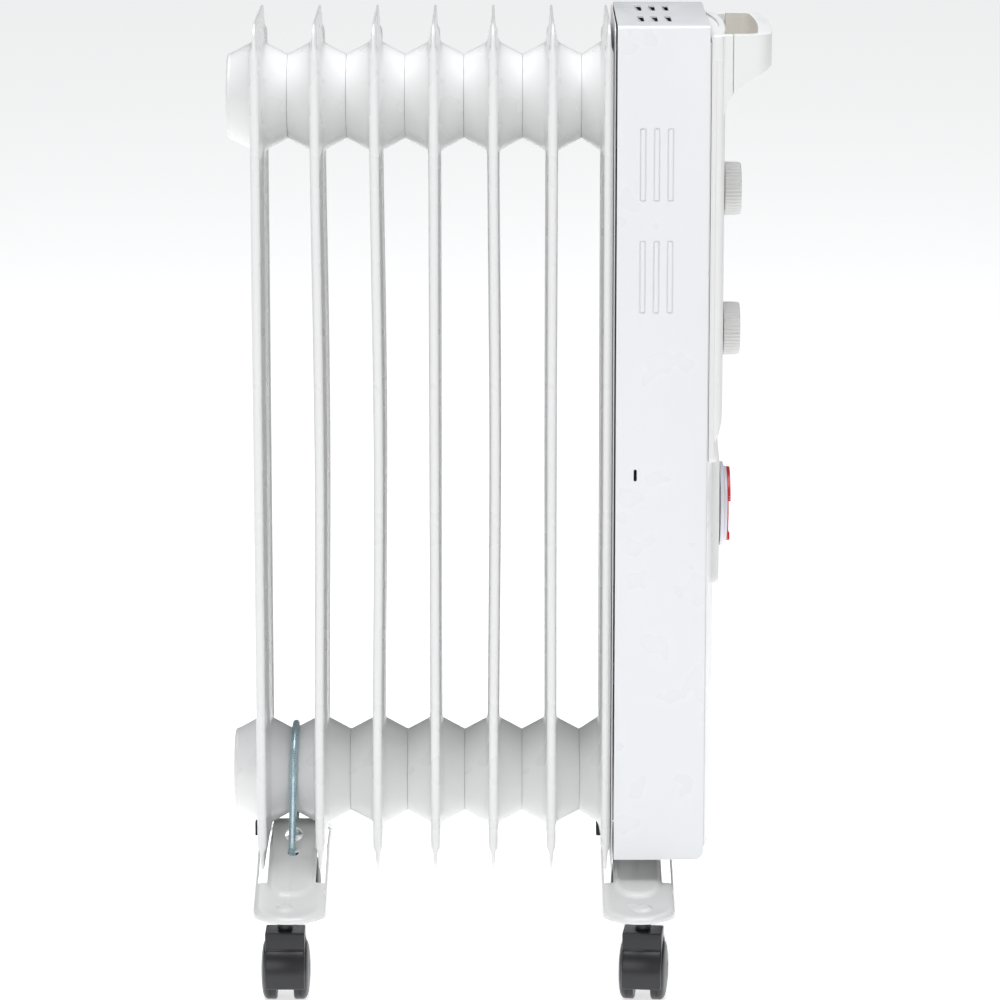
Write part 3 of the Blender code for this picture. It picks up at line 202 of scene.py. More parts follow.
class Shape:
    """A working object that takes booleans and bevels one after another and gives a plain mesh."""

    def __init__(self, mesh):
        self.mesh = mesh

    def settle(self, item):
        bpy.context.scene.collection.objects.link(item)
        bpy.context.view_layer.update()
        ready = item.evaluated_get(bpy.context.evaluated_depsgraph_get())
        self.mesh = bpy.data.meshes.new_from_object(ready)
        bpy.data.objects.remove(item, do_unlink=True)
        return self

    def combine(self, operation, other):
        item = bpy.data.objects.new("shape", self.mesh)
        helper = bpy.data.objects.new("helper", other)
        bpy.context.scene.collection.objects.link(helper)
        change = item.modifiers.new("combine", "BOOLEAN")
        change.operation = operation
        change.object = helper
        self.settle(item)
        bpy.data.objects.remove(helper, do_unlink=True)
        return self

    def bevel(self, width, segments=3, angle=35.0):
        item = bpy.data.objects.new("shape", self.mesh)
        change = item.modifiers.new("round", "BEVEL")
        change.width = width
        change.segments = segments
        change.limit_method = "ANGLE"
        change.angle_limit = math.radians(angle)
        change.harden_normals = False
        return self.settle(item)


def joined(name, meshes):
    """Several closed meshes as one."""
    work = bmesh.new()
    for mesh in meshes:
        work.from_mesh(mesh)
    result = bpy.data.meshes.new(name)
    work.to_mesh(result)
    work.free()
    return result


def moved(mesh, matrix):
    copy = mesh.copy()
    copy.transform(matrix)
    return copy


def add_piece(name, mesh, finish, body, stands_for=(), place=None, sharp=32.0):
    """Shows a mesh as a piece that rides on a body and stands for CAD nodes."""
    mesh.name = name
    item = bpy.data.objects.new(name, mesh)
    bpy.context.scene.collection.objects.link(item)
    mesh.materials.clear()
    mesh.materials.append(MATERIALS[finish])
    mesh.shade_smooth()
    mesh.set_sharp_from_angle(angle=math.radians(sharp))
    if place:
        item.matrix_world = place
    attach(item, body)
    if stands_for:
        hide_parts(*stands_for)
    return item


# ---------------------------------------------------------------- materials

def new_material(name):
    material = bpy.data.materials.new(name)
    material.use_nodes = True
    nodes = material.node_tree.nodes
    return material, nodes, material.node_tree.links, nodes["Principled BSDF"]


def noise(nodes, links, scale, detail, source):
    texture = nodes.new("ShaderNodeTexNoise")
    texture.inputs["Scale"].default_value = scale
    texture.inputs["Detail"].default_value = detail
    links.new(source.outputs["Object"], texture.inputs["Vector"])
    return texture


def ramp_between(nodes, links, factor, low, high):
    """A colour that goes from low to high with the factor."""
    mix = nodes.new("ShaderNodeMix")
    mix.data_type = "RGBA"
    links.new(factor, mix.inputs["Factor"])
    mix.inputs["A"].default_value = (*low, 1.0)
    mix.inputs["B"].default_value = (*high, 1.0)
    return mix.outputs["Result"]


def range_between(nodes, links, factor, low, high):
    scale = nodes.new("ShaderNodeMapRange")
    scale.inputs["From Min"].default_value = 0.3
    scale.inputs["From Max"].default_value = 0.7
    scale.inputs["To Min"].default_value = low
    scale.inputs["To Max"].default_value = high
    links.new(factor, scale.inputs["Value"])
    return scale.outputs["Result"]


def add_bump(nodes, links, shader, height, distance, strength, before=None):
    bump = nodes.new("ShaderNodeBump")
    bump.inputs["Distance"].default_value = distance
    bump.inputs["Strength"].default_value = strength
    links.new(height, bump.inputs["Height"])
    if before:
        links.new(before.outputs["Normal"], bump.inputs["Normal"])
    links.new(bump.outputs["Normal"], shader.inputs["Normal"])
    return bump


def surface(name, low, high, roughness, grain, coat=0.0, metallic=0.0, wave=None):
    """Colour and roughness that drift slowly over the surface, with a fine grain as bump.

    grain is (scale, distance, strength) of the fine bump, and wave the same for a broad one.
    """
    material, nodes, links, shader = new_material(name)
    source = nodes.new("ShaderNodeTexCoord")
    drift = noise(nodes, links, 9.0, 3.0, source)
    links.new(ramp_between(nodes, links, drift.outputs["Fac"], low, high), shader.inputs["Base Color"])
    cloud = noise(nodes, links, 34.0, 2.0, source)
    links.new(range_between(nodes, links, cloud.outputs["Fac"], *roughness), shader.inputs["Roughness"])
    fine = noise(nodes, links, grain[0], 2.0, source)
    bump = add_bump(nodes, links, shader, fine.outputs["Fac"], grain[1], grain[2])
    if wave:
        broad = noise(nodes, links, wave[0], 1.0, source)
        add_bump(nodes, links, shader, broad.outputs["Fac"], wave[1], wave[2], bump)
    shader.inputs["Coat Weight"].default_value = coat
    shader.inputs["Coat Roughness"].default_value = 0.12
    shader.inputs["Metallic"].default_value = metallic
    return material


def zinc_material():
    """Bright zinc with a blue passivation and fine drawing lines."""
    material, nodes, links, shader = new_material("blue_zinc")
    source = nodes.new("ShaderNodeTexCoord")
    patch = noise(nodes, links, 130.0, 3.0, source)
    colour = ramp_between(nodes, links, patch.outputs["Fac"], (0.30, 0.46, 0.53), (0.66, 0.80, 0.84))
    links.new(colour, shader.inputs["Base Color"])
    lines = noise(nodes, links, 900.0, 2.0, source)
    links.new(range_between(nodes, links, lines.outputs["Fac"], 0.22, 0.40), shader.inputs["Roughness"])
    add_bump(nodes, links, shader, lines.outputs["Fac"], 0.02 * MM, 0.5)
    shader.inputs["Metallic"].default_value = 0.85
    return material


MATERIALS = {
    "fin": surface("fin_gloss_paint", (0.80, 0.80, 0.795), (0.825, 0.825, 0.82), (0.24, 0.34),
                   (1400.0, 0.012 * MM, 0.30), coat=0.35, wave=(160.0, 0.05 * MM, 0.25)),
    "housing": surface("housing_gloss_paint", (0.79, 0.80, 0.815), (0.82, 0.83, 0.84), (0.26, 0.36),
                       (1500.0, 0.010 * MM, 0.25), coat=0.30, wave=(120.0, 0.05 * MM, 0.20)),
    "foot": surface("foot_gloss_paint", (0.79, 0.79, 0.775), (0.81, 0.81, 0.80), (0.20, 0.30),
                    (1200.0, 0.012 * MM, 0.30), coat=0.45, wave=(150.0, 0.06 * MM, 0.25)),
    "panel": surface("panel_moulded_plastic", (0.795, 0.795, 0.785), (0.82, 0.82, 0.81),
                     (0.38, 0.48), (2600.0, 0.010 * MM, 0.35)),
    # darker, warmer colour inside the grip slot: painted shade and a painted warm reflection
    "grip_slot_shade": surface("grip_slot_painted_shade", (0.66, 0.63, 0.57), (0.72, 0.69, 0.63),
                           (0.42, 0.52), (2600.0, 0.010 * MM, 0.35)),
    "knob": surface("knob_moulded_plastic", (0.70, 0.70, 0.685), (0.735, 0.735, 0.72), (0.40, 0.50),
                    (2600.0, 0.012 * MM, 0.40)),
    "timer": surface("timer_plastic", (0.74, 0.74, 0.80), (0.80, 0.80, 0.85), (0.30, 0.40),
                     (2400.0, 0.008 * MM, 0.30)),
    "tappet": surface("tappet_red_plastic", (0.60, 0.012, 0.016), (0.74, 0.025, 0.030),
                      (0.28, 0.38), (2400.0, 0.008 * MM, 0.30), coat=0.2),
    "caster": surface("caster_black_plastic", (0.014, 0.014, 0.017), (0.024, 0.024, 0.028),
                      (0.28, 0.38), (2200.0, 0.020 * MM, 0.45)),
    "rubber": surface("buffer_rubber", (0.010, 0.010, 0.010), (0.022, 0.022, 0.022), (0.70, 0.85),
                      (1500.0, 0.03 * MM, 0.50)),
    "steel": surface("plain_steel", (0.50, 0.50, 0.51), (0.66, 0.66, 0.67), (0.26, 0.40),
                     (1100.0, 0.02 * MM, 0.30), metallic=0.95),
    "inner": surface("inner_black_plastic", (0.03, 0.03, 0.032), (0.05, 0.05, 0.052), (0.45, 0.6),
                     (1800.0, 0.02 * MM, 0.40)),
    # bare sheet inside the housing, made far darker than bare steel as painted shade
    "bare_sheet_shade": surface("bare_sheet_painted_shade", (0.14, 0.135, 0.125), (0.20, 0.195, 0.18), (0.45, 0.60),
                    (900.0, 0.02 * MM, 0.30), metallic=0.4),
    "ink": surface("dial_ink", (0.16, 0.17, 0.18), (0.20, 0.21, 0.22), (0.50, 0.60),
                   (2000.0, 0.005 * MM, 0.20)),
    "zinc": zinc_material(),
}


# ---------------------------------------------------------------- fins

FIN_NAMES = [f"fin_{number}" for number in range(1, 8)]
LAST_FIN_X = 70.3 * MM
FIN_LOW, FIN_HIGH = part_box("fin_2")
REAR_CAP_Z = (middle("header_cap_bottom_rear").z, middle("header_cap_top_rear").z)
BOTTOM_HEADER_Z, TOP_HEADER_Z = REAR_CAP_Z
JUNCTION_RADIUS = (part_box("header_cap_top_rear")[1].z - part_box("header_cap_top_rear")[0].z) / 2
COLLAR_REACH = (FIN_HIGH.x - FIN_LOW.x) / 2
# The painted collars meet in a fine weld seam
SEAM_REACH = 0.15 * MM
FIN_BOTTOM = FIN_LOW.z
FIN_TOP = FIN_HIGH.z
FIN_HALF_DEPTH = FIN_HIGH.y
SHEET_HALF_DEPTH = FIN_HALF_DEPTH - 0.8 * MM
SHEET_HALF = 1.4 * MM
TIP_HALF = 0.85 * MM
HEM_RADIUS = 3.05 * MM
HEM_END = 16.0 * MM
HEM_FADE = 5.0 * MM
PRESS_HEIGHT = 2.6 * MM
COLLAR_RADIUS = 35.0 * MM
FLARE_END = 54.0 * MM
BORE_RADIUS = 21.0 * MM
CHANNEL_SPACING = 16.5 * MM
CHANNEL_HALF = 8.2 * MM
PATCH_HALF = 48.0 * MM
PATCH_STEPS = 24
CORNER_RADIUS = 12.0 * MM
HEM_STEPS = 6
# How far the long, thin fins are bowed along X half-way up
FIN_BOWS = {"fin_2": 1.6 * MM, "fin_3": 1.8 * MM, "fin_5": 1.3 * MM, "fin_6": -0.3 * MM}


def hem_weight(z):
    """1 along the folded stretch of the long edges, 0 at the plain ends."""
    from_end = min(z - FIN_BOTTOM, FIN_TOP - z) - HEM_END
    return smooth(from_end / HEM_FADE + 0.5)


def sheet_half(z):
    """Half the sheet's thickness: pressed thinner towards the plain ends."""
    from_end = min(z - FIN_BOTTOM, FIN_TOP - z)
    return blend(TIP_HALF, SHEET_HALF, smooth(from_end / HEM_END))


def header_distance(y, z):
    return min(math.hypot(y, z - header) for header in REAR_CAP_Z)


def pressing(y, z):
    """Height of the pressed oil channels and of the flare round the collars."""
    distance = header_distance(y, z)
    share = min(max((distance - COLLAR_RADIUS) / (FLARE_END - COLLAR_RADIUS), 0.0), 1.0)
    flare = (1 - share) ** 1.25
    channel = 0.0
    if BOTTOM_HEADER_Z < z < TOP_HEADER_Z:
        for centre in (-CHANNEL_SPACING, 0.0, CHANNEL_SPACING):
            offset = abs(y - centre) / CHANNEL_HALF
            if offset < 1:
                channel = max(channel, 1 - smooth(offset * 1.25 - 0.25) if offset > 0.2 else 1.0)
    return PRESS_HEIGHT * max(flare, channel)


def edge_columns(z):
    """(distance from the middle, height) across the folded edge, from the sheet outwards."""
    weight = hem_weight(z)
    half = sheet_half(z)
    radius = blend(half, HEM_RADIUS, weight)
    centre = blend(SHEET_HALF_DEPTH - half, FIN_HALF_DEPTH - HEM_RADIUS, weight)
    last_turn = math.pi - math.asin(min(half / radius, 1.0))
    columns = []
    for step in range(HEM_STEPS, -1, -1):
        turn = last_turn * step / HEM_STEPS
        columns.append((centre + radius * math.cos(turn), radius * math.sin(turn)))
    return columns


def end_factor(z):
    """The sheet's rounded top and bottom edges: 1 inside, 0 at the edge."""
    depth = min(z - FIN_BOTTOM, FIN_TOP - z) / TIP_HALF
    return math.sqrt(max(1 - (1 - min(depth, 1.0)) ** 2, 0.0))


def round_corner(y, z):
    """Moves a point of the square plan onto the plan with round corners."""
    side = math.copysign(1, y)
    level = math.copysign(1, z - (FIN_TOP + FIN_BOTTOM) / 2)
    centre_y = SHEET_HALF_DEPTH - CORNER_RADIUS
    centre_z = (FIN_TOP if level > 0 else FIN_BOTTOM) - level * CORNER_RADIUS
    across = (abs(y) - centre_y) / CORNER_RADIUS
    up = (z - centre_z) * level / CORNER_RADIUS
    if across <= 0 or up <= 0:
        return y, z
    new_across = across * math.sqrt(1 - min(up, 1) ** 2 / 2)
    new_up = up * math.sqrt(1 - min(across, 1) ** 2 / 2)
    return side * (centre_y + new_across * CORNER_RADIUS), centre_z + level * new_up * CORNER_RADIUS


def row_levels():
    """Z of the rows of the fin's grid. The stretches beside the headers match the round patches."""
    tips = [TIP_HALF * (1 - math.cos(turn)) for turn in spread(0, math.pi / 2, 3)]
    low = [FIN_BOTTOM + tip for tip in tips] + [FIN_BOTTOM + 3.2 * MM]
    high = [FIN_TOP - 3.2 * MM] + [FIN_TOP - tip for tip in reversed(tips)]
    beside = [spread(header - PATCH_HALF, header + PATCH_HALF, PATCH_STEPS) for header in REAR_CAP_Z]
    between = spread(beside[0][-1], beside[1][0], 22)[1:-1]
    return low + beside[0] + between + beside[1] + high


def collar_rings(reach, neck):
    """(radius, height) from the bore's mouth out to the foot of the collar."""
    end = reach + neck
    rings = [(BORE_RADIUS, end), (JUNCTION_RADIUS - 1.0 * MM, end),
             (JUNCTION_RADIUS - 0.35 * MM, end - 0.12 * MM), (JUNCTION_RADIUS, end - 1.0 * MM)]
    if neck:
        rings.append((JUNCTION_RADIUS, reach))
    foot = (COLLAR_RADIUS - 0.9 * MM, 6.2 * MM)
    for share in (0.12, 0.35, 0.6, 0.85, 1.0):
        rings.append((blend(JUNCTION_RADIUS, foot[0], share), blend(reach - 1.0 * MM, foot[1], share)))
    rings += [(COLLAR_RADIUS - 0.25 * MM, 5.1 * MM), (COLLAR_RADIUS + 0.7 * MM, 4.3 * MM)]
    return rings


def patch_border():
    """Points on the border of the square patch, the same as those of the grid around it."""
    half = PATCH_HALF
    run = spread(-half, half, PATCH_STEPS)[:-1]
    return ([(half, value) for value in run] + [(-value, half) for value in run]
            + [(-half, -value) for value in run] + [(value, -half) for value in run])


def skin(side, reach, necks, bow):
    """Points and faces of one pressed skin of a fin. side is -1 or 1 along X."""
    points = []
    faces = []

    def place(y, z, height, factor=1.0):
        share = (z - BOTTOM_HEADER_Z) / (TOP_HEADER_Z - BOTTOM_HEADER_Z)
        shift = bow * math.sin(math.pi * min(max(share, 0.0), 1.0)) ** 2
        new_y, new_z = round_corner(y, z)
        points.append((side * height * factor + shift, new_y, new_z))

    inner = spread(-PATCH_HALF, PATCH_HALF, PATCH_STEPS)
    flank = [PATCH_HALF + 3.0 * MM, PATCH_HALF + 6.0 * MM, PATCH_HALF + 9.0 * MM]
    rows = row_levels()
    count = 0
    for z in rows:
        edge = edge_columns(z)
        factor = end_factor(z)
        half = sheet_half(z)
        far = [(y, half + pressing(y, z)) for y in flank] + edge
        row = [(-y, height) for y, height in reversed(far)]
        row += [(y, half + pressing(y, z)) for y in inner] + far
        count = len(row)
        for y, height in row:
            place(y, z, height, factor)
    border = len(flank) + len(edge_columns(rows[0]))
    for row in range(len(rows) - 1):
        level = (rows[row] + rows[row + 1]) / 2
        beside = any(abs(level - header) < PATCH_HALF for header in REAR_CAP_Z)
        for column in range(count - 1):
            if beside and border <= column < border + PATCH_STEPS:
                continue
            here = row * count + column
            faces.append((here, here + 1, here + count + 1, here + count))
    bores = []
    for header, neck in zip(REAR_CAP_Z, necks):
        first = len(points)
        outer = patch_border()
        rings = collar_rings(reach, neck)
        start = COLLAR_RADIUS + 3.0 * MM
        for radius, height in rings:
            for y, z in outer:
                scale = radius / math.hypot(y, z)
                place(y * scale, header + z * scale, height)
        for share in (0.0, 0.3, 0.6, 1.0):
            for y, z in outer:
                scale = blend(start / math.hypot(y, z), 1.0, share)
                level = header + z * scale
                place(y * scale, level, sheet_half(level) + pressing(y * scale, level))
        faces += loft_faces([outer] * (len(rings) + 4), True, first)
        bores.append(list(range(first, first + len(outer))))
    return points, faces, bores


def fin_mesh(name, rear_reach, front_reach, necks, bow):
    """Two pressed skins that meet along the folded edge, joined through the header bores."""
    points, faces, bores = skin(-1, rear_reach, (0.0, 0.0), bow)
    more_points, more_faces, more_bores = skin(1, front_reach, necks, bow)
    shift = len(points)
    points += more_points
    faces += [tuple(shift + corner for corner in face) for face in more_faces]
    for near, far in zip(bores, more_bores):
        for step, corner in enumerate(near):
            follow = (step + 1) % len(near)
            faces.append((corner, near[follow], shift + far[follow], shift + far[step]))
    return mesh_of(name, points, faces)


def make_fins():
    for name in FIN_NAMES:
        low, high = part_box(name)
        last = name == FIN_NAMES[-1]
        reach = COLLAR_REACH + SEAM_REACH
        if last:
            x = LAST_FIN_X
            neck = high.x - x - reach
            mesh = fin_mesh(name, x - low.x + SEAM_REACH, reach, (neck, 0.0), 0.0)
        else:
            x = (low.x + high.x) / 2
            mesh = fin_mesh(name, reach, reach, (0.0, 0.0), FIN_BOWS.get(name, 0.0))
        add_piece(f"pressed_{name}", mesh, "fin", ROOT, [name], Matrix.Translation((x, 0, 0)), 38.0)


def make_header_caps():
    """Pressed caps welded over the rear ends of both headers."""
    rear_fin_x = middle("fin_1").x
    for name in ("header_cap_top_rear", "header_cap_bottom_rear"):
        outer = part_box(name)[0].x
        seat = rear_fin_x - COLLAR_REACH + 0.8 * MM
        radius = JUNCTION_RADIUS + 0.03 * MM
        profile = [(0, outer + 0.35 * MM), (15 * MM, outer + 0.35 * MM), (19.5 * MM, outer + 0.3 * MM),
                   (21.5 * MM, outer + 0.02 * MM), (24.5 * MM, outer), (26.0 * MM, outer + 0.12 * MM),
                   (radius - 0.9 * MM, outer + 0.45 * MM), (radius - 0.3 * MM, outer + 1.0 * MM),
                   (radius, outer + 1.7 * MM), (radius, seat), (BORE_RADIUS + MM, seat), (0, seat)]
        add_piece(f"dished_{name}", lathe_mesh(name, profile, 96), "fin", ROOT, [name],
                  Matrix.Translation((0, 0, middle(name).z)))


# ---------------------------------------------------------------- housing

COVER_LOW, COVER_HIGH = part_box("housing_cover")
SHEET = 1.0 * MM
COVER_BEND = 2.5 * MM
LOUVRE_XS = (92.0 * MM, 100.8 * MM, 109.6 * MM)
LOUVRE_ZS = (547.0 * MM, 474.5 * MM)
LOUVRE_HALF = (2.05 * MM, 23.6 * MM)
LOUVRE_GROOVE = 0.85 * MM
LOUVRE_ROUND = 1.2 * MM
LOUVRE_DEPTH = 0.75 * MM
SIDE_SLOT = (88.1 * MM, 344.6 * MM, 1.05 * MM, 3.9 * MM)
VENT_XS = (90.8 * MM, 99.6 * MM, 108.3 * MM)
VENT_Y = 30.0 * MM
VENT_HALF = (2.25 * MM, 14.5 * MM)
FRONT_CORNER = 6.0 * MM
GLAND_SPOT = (118.0 * MM, 112.0 * MM)
GLAND_HOLE = 6.4 * MM
HEADER_HOLE = 36.2 * MM
CONTROL_ZS = (middle("power_knob").z, middle("thermostat_knob").z)
TIMER_Z = middle("timer_dial").z
SPINDLE_HOLE = 5.2 * MM
TIMER_HOLE = 24.6 * MM
PLATE_LOW, PLATE_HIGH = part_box("front_plate")
PANEL_LOW, PANEL_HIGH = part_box("control_panel")


def louvre_groove(x, z, side):
    """A groove round one pressed louvre, sunk into one side of the cover."""
    wall = side * COVER_HIGH.y
    half_x, half_z = LOUVRE_HALF
    outer = rounded_rectangle((x - half_x, z - half_z), (x + half_x, z + half_z), LOUVRE_ROUND)
    inner = rounded_rectangle((x - half_x + LOUVRE_GROOVE, z - half_z + LOUVRE_GROOVE),
                              (x + half_x - LOUVRE_GROOVE, z + half_z - LOUVRE_GROOVE),
                              LOUVRE_ROUND - LOUVRE_GROOVE / 2)
    lift = side * 0.5 * MM
    floor = wall - side * LOUVRE_DEPTH
    rings = [[(a, wall + lift, b) for a, b in outer], [(a, floor, b) for a, b in outer],
             [(a, floor, b) for a, b in inner], [(a, wall + lift, b) for a, b in inner]]
    return loft_mesh("groove", rings + rings[:1], capped=False)


def make_housing_cover():
    """Near side, top and far side in one bent sheet, with pressed louvres and vents."""
    depth = COVER_HIGH.y
    top = COVER_HIGH.z
    bottom = COVER_LOW.z
    path = [(depth, bottom, 1, 0)]
    for centre_y, start in ((depth - COVER_BEND, 0), (COVER_BEND - depth, 90)):
        bend = arc((centre_y, top - COVER_BEND), COVER_BEND, start, start + 90, 8)
        path += [(*spot, math.cos(math.radians(turn)), math.sin(math.radians(turn)))
                 for spot, turn in zip(bend, spread(start, start + 90, 8))]
    path.append((-depth, bottom, -1, 0))
    half = SHEET / 2
    section = [(COVER_LOW.x + half + half * math.cos(turn), half * math.sin(turn) - half)
               for turn in spread(1.5 * math.pi, 0.5 * math.pi, 6)]
    section += [(COVER_HIGH.x - half + half * math.cos(turn), half * math.sin(turn) - half)
                for turn in spread(0.5 * math.pi, -0.5 * math.pi, 6)]
    rings = [[(x, y + out_y * offset, z + out_z * offset) for x, offset in section]
             for y, z, out_y, out_z in path]
    shape = Shape(loft_mesh("cover", rings))
    corner = FRONT_CORNER
    centre = (COVER_HIGH.x - corner, bottom + corner)
    trim = arc(centre, corner, 0.5, -90.5, 8)
    trim += [(centre[0], bottom - corner), (centre[0] + 2 * corner, bottom - corner),
             (centre[0] + 2 * corner, centre[1])]
    shape.combine("DIFFERENCE", prism_mesh("trim", trim, -2 * depth, 2 * depth, "y"))
    grooves = [louvre_groove(x, z, side) for side in (-1, 1) for x in LOUVRE_XS for z in LOUVRE_ZS]
    shape.combine("DIFFERENCE", joined("grooves", grooves))
    x, z, half_x, half_z = SIDE_SLOT
    slot = rounded_rectangle((x - half_x, z - half_z), (x + half_x, z + half_z), half_x * 0.9)
    shape.combine("DIFFERENCE", prism_mesh("slot", slot, -2 * depth, 2 * depth, "y"))
    for x in VENT_XS:
        for y in (-VENT_Y, VENT_Y):
            vent = rounded_rectangle((x - VENT_HALF[0], y - VENT_HALF[1]),
                                     (x + VENT_HALF[0], y + VENT_HALF[1]), 1.0 * MM, 3)
            shape.combine("DIFFERENCE", prism_mesh("vent", vent, top - 3 * SHEET, top + SHEET, "z"))
    x, z = GLAND_SPOT
    gland = [((x, depth / 2, z), (x, 2 * depth, z))]
    shape.combine("DIFFERENCE", rods_mesh("gland_hole", gland, GLAND_HOLE, 32))
    mesh = shape.mesh
    add_piece("pressed_housing_cover", mesh, "housing", ROOT, ["housing_cover"], sharp=28.0)
    # The cover's inner faces take the dark bare-sheet colour, which paints the shade inside the housing
    mesh.materials.append(MATERIALS["bare_sheet_shade"])
    for face in mesh.polygons:
        spot = face.center
        inside = abs(spot.y) < depth - 0.9 * SHEET and spot.z < top - 0.9 * SHEET
        face.material_index = 1 if inside else 0


def make_vent_flaps():
    """The tongue of each top vent, bent down into the housing."""
    flaps = []
    top = COVER_HIGH.z
    for x in VENT_XS:
        for y in (-VENT_Y, VENT_Y):
            outline = [(x - VENT_HALF[0] + 0.1 * MM, top - 1.0 * MM),
                       (x - VENT_HALF[0] + 0.1 * MM, top - 0.25 * MM),
                       (x + VENT_HALF[0] - 1.5 * MM, top - 2.6 * MM),
                       (x + VENT_HALF[0] - 1.7 * MM, top - 3.2 * MM)]
            flap = prism_mesh("flap", outline, y - VENT_HALF[1] + 0.4 * MM,
                              y + VENT_HALF[1] - 0.4 * MM, "y")
            flaps.append(Shape(flap).bevel(0.2 * MM, 2).mesh)
    add_piece("top_vent_flaps", joined("top_vent_flaps", flaps), "housing", ROOT)


def front_bow(y):
    half = COVER_HIGH.y
    return PLATE_HIGH.x - 7.2 * MM * (y / half) ** 2


def cut_control_holes(shape, start, end):
    """Holes along X for the two spindles and the timer."""
    holes = [((start, 0, z), (end, 0, z)) for z in CONTROL_ZS]
    shape.combine("DIFFERENCE", rods_mesh("holes", holes, SPINDLE_HOLE, 32))
    timer = [((start, 0, TIMER_Z), (end, 0, TIMER_Z))]
    shape.combine("DIFFERENCE", rods_mesh("timer_hole", timer, TIMER_HOLE, 64))


def make_front_plate():
    """A sheet bowed in plan, with rolled edges."""
    edge = PLATE_HIGH.y
    half = SHEET / 2
    rings = []
    levels = [(PLATE_LOW.z, 0.4), (PLATE_LOW.z + 0.3 * MM, 1.0), (PLATE_HIGH.z - 0.3 * MM, 1.0),
              (PLATE_HIGH.z, 0.4)]
    for z, share in levels:
        ring = []
        for side in (1, -1):
            reach = side * (edge - half)
            ring += [(front_bow(y) - half + side * half * share, y, z) for y in spread(-reach, reach, 40)]
            ring += [(front_bow(reach) - half + side * half * share * math.cos(turn),
                      side * (edge - half + half * math.sin(turn)), z)
                     for turn in spread(0, math.pi, 6)[1:-1]]
        rings.append(ring)
    shape = Shape(loft_mesh("front_plate", rings))
    cut_control_holes(shape, COVER_LOW.x, 2 * PLATE_HIGH.x)
    add_piece("bowed_front_plate", shape.mesh, "housing", ROOT, ["front_plate"])


def make_back_plate():
    """The plate behind the last fin, with a shallow turned edge."""
    low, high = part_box("back_plate")
    levels = [(low.x, 0.35 * MM), (low.x + 0.25 * MM, 0.0), (high.x - 0.25 * MM, 0.0),
              (high.x, 0.35 * MM)]
    rings = []
    for x, inset in levels:
        outline = rounded_rectangle((low.y + inset, low.z + inset), (high.y - inset, high.z - inset),
                                    CORNER_RADIUS - inset, 10)
        rings.append([(x, y, z) for y, z in outline])
    shape = Shape(loft_mesh("back_plate", rings))
    spans = [((low.x - COVER_BEND, 0, z), (high.x + COVER_BEND, 0, z)) for z in REAR_CAP_Z]
    shape.combine("DIFFERENCE", rods_mesh("header_holes", spans, HEADER_HOLE, 64))
    add_piece("pressed_back_plate", shape.mesh, "housing", ROOT, ["back_plate"])


# ---------------------------------------------------------------- control panel and handle

PANEL_BOW = 3.4 * MM
BOW_HALF = 65.0 * MM
PANEL_FACE_X = 146.5 * MM
PANEL_STEP_Z = 367.5 * MM
PANEL_STEP_X = 142.9 * MM
PANEL_SIDE_BOTTOM = 352.2 * MM
TONGUE_HALF = 40.0 * MM
TONGUE_FACE_X = 145.2 * MM
SLOPE_Z = 343.0 * MM
EDGE_ROUND_TOP = 1.5 * MM
SIDE_STEP_TOP = 616.0 * MM
SIDE_STEP = 0.7 * MM
SIDE_CORNER = 4.0 * MM
TONGUE_CORNER = 6.0 * MM
PANEL_CORNER = 3.0 * MM
LIP_REAR = 134.65 * MM
LIP_HALF = 67.4 * MM
CHEEK = 7.0 * MM
GRIP = 9.0 * MM
# Height and recess of the face, down to the step above the timer
FACE_PROFILE = ((500.0, 0.0), (380.0, 0.0), (375.0, 0.2), (371.5, 0.8), (369.3, 1.7), (367.8, 2.9),
                (366.5, 3.5), (363.0, 3.2))
GAP = 0.35 * MM
HANDLE_LOW, HANDLE_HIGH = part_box("handle")
SEAM_X = HANDLE_LOW.x


def panel_bow(y):
    return PANEL_FACE_X - PANEL_BOW * (y / BOW_HALF) ** 2


def panel_section(z, half, face, corner, step):
    """Outline in plan at a height: bowed rear, stepped sides, round front corners, bowed face.

    face is how far the front lies behind the full face, and step how deep the side step is.
    """
    ledge = 138.2 * MM
    front_half = half - step
    ring = [(front_bow(y) + GAP, y, z) for y in spread(-half, half, 36)]
    ring += [(min(ledge, front_bow(half) + 3.0 * MM), half, z), (ledge + step, front_half, z)]
    front_x = panel_bow(front_half - corner) - face
    round_end = [(front_x - corner + corner * math.sin(turn),
                  front_half - corner + corner * math.cos(turn)) for turn in spread(0, math.pi / 2, 6)]
    ring += [(x, y, z) for x, y in round_end]
    ring += [(panel_bow(y) - face, y, z)
             for y in spread(front_half - corner, corner - front_half, 36)[1:-1]]
    ring += [(x, -y, z) for x, y in reversed(round_end)]
    ring += [(ledge + step, -front_half, z), (min(ledge, front_bow(half) + 3.0 * MM), -half, z)]
    return ring


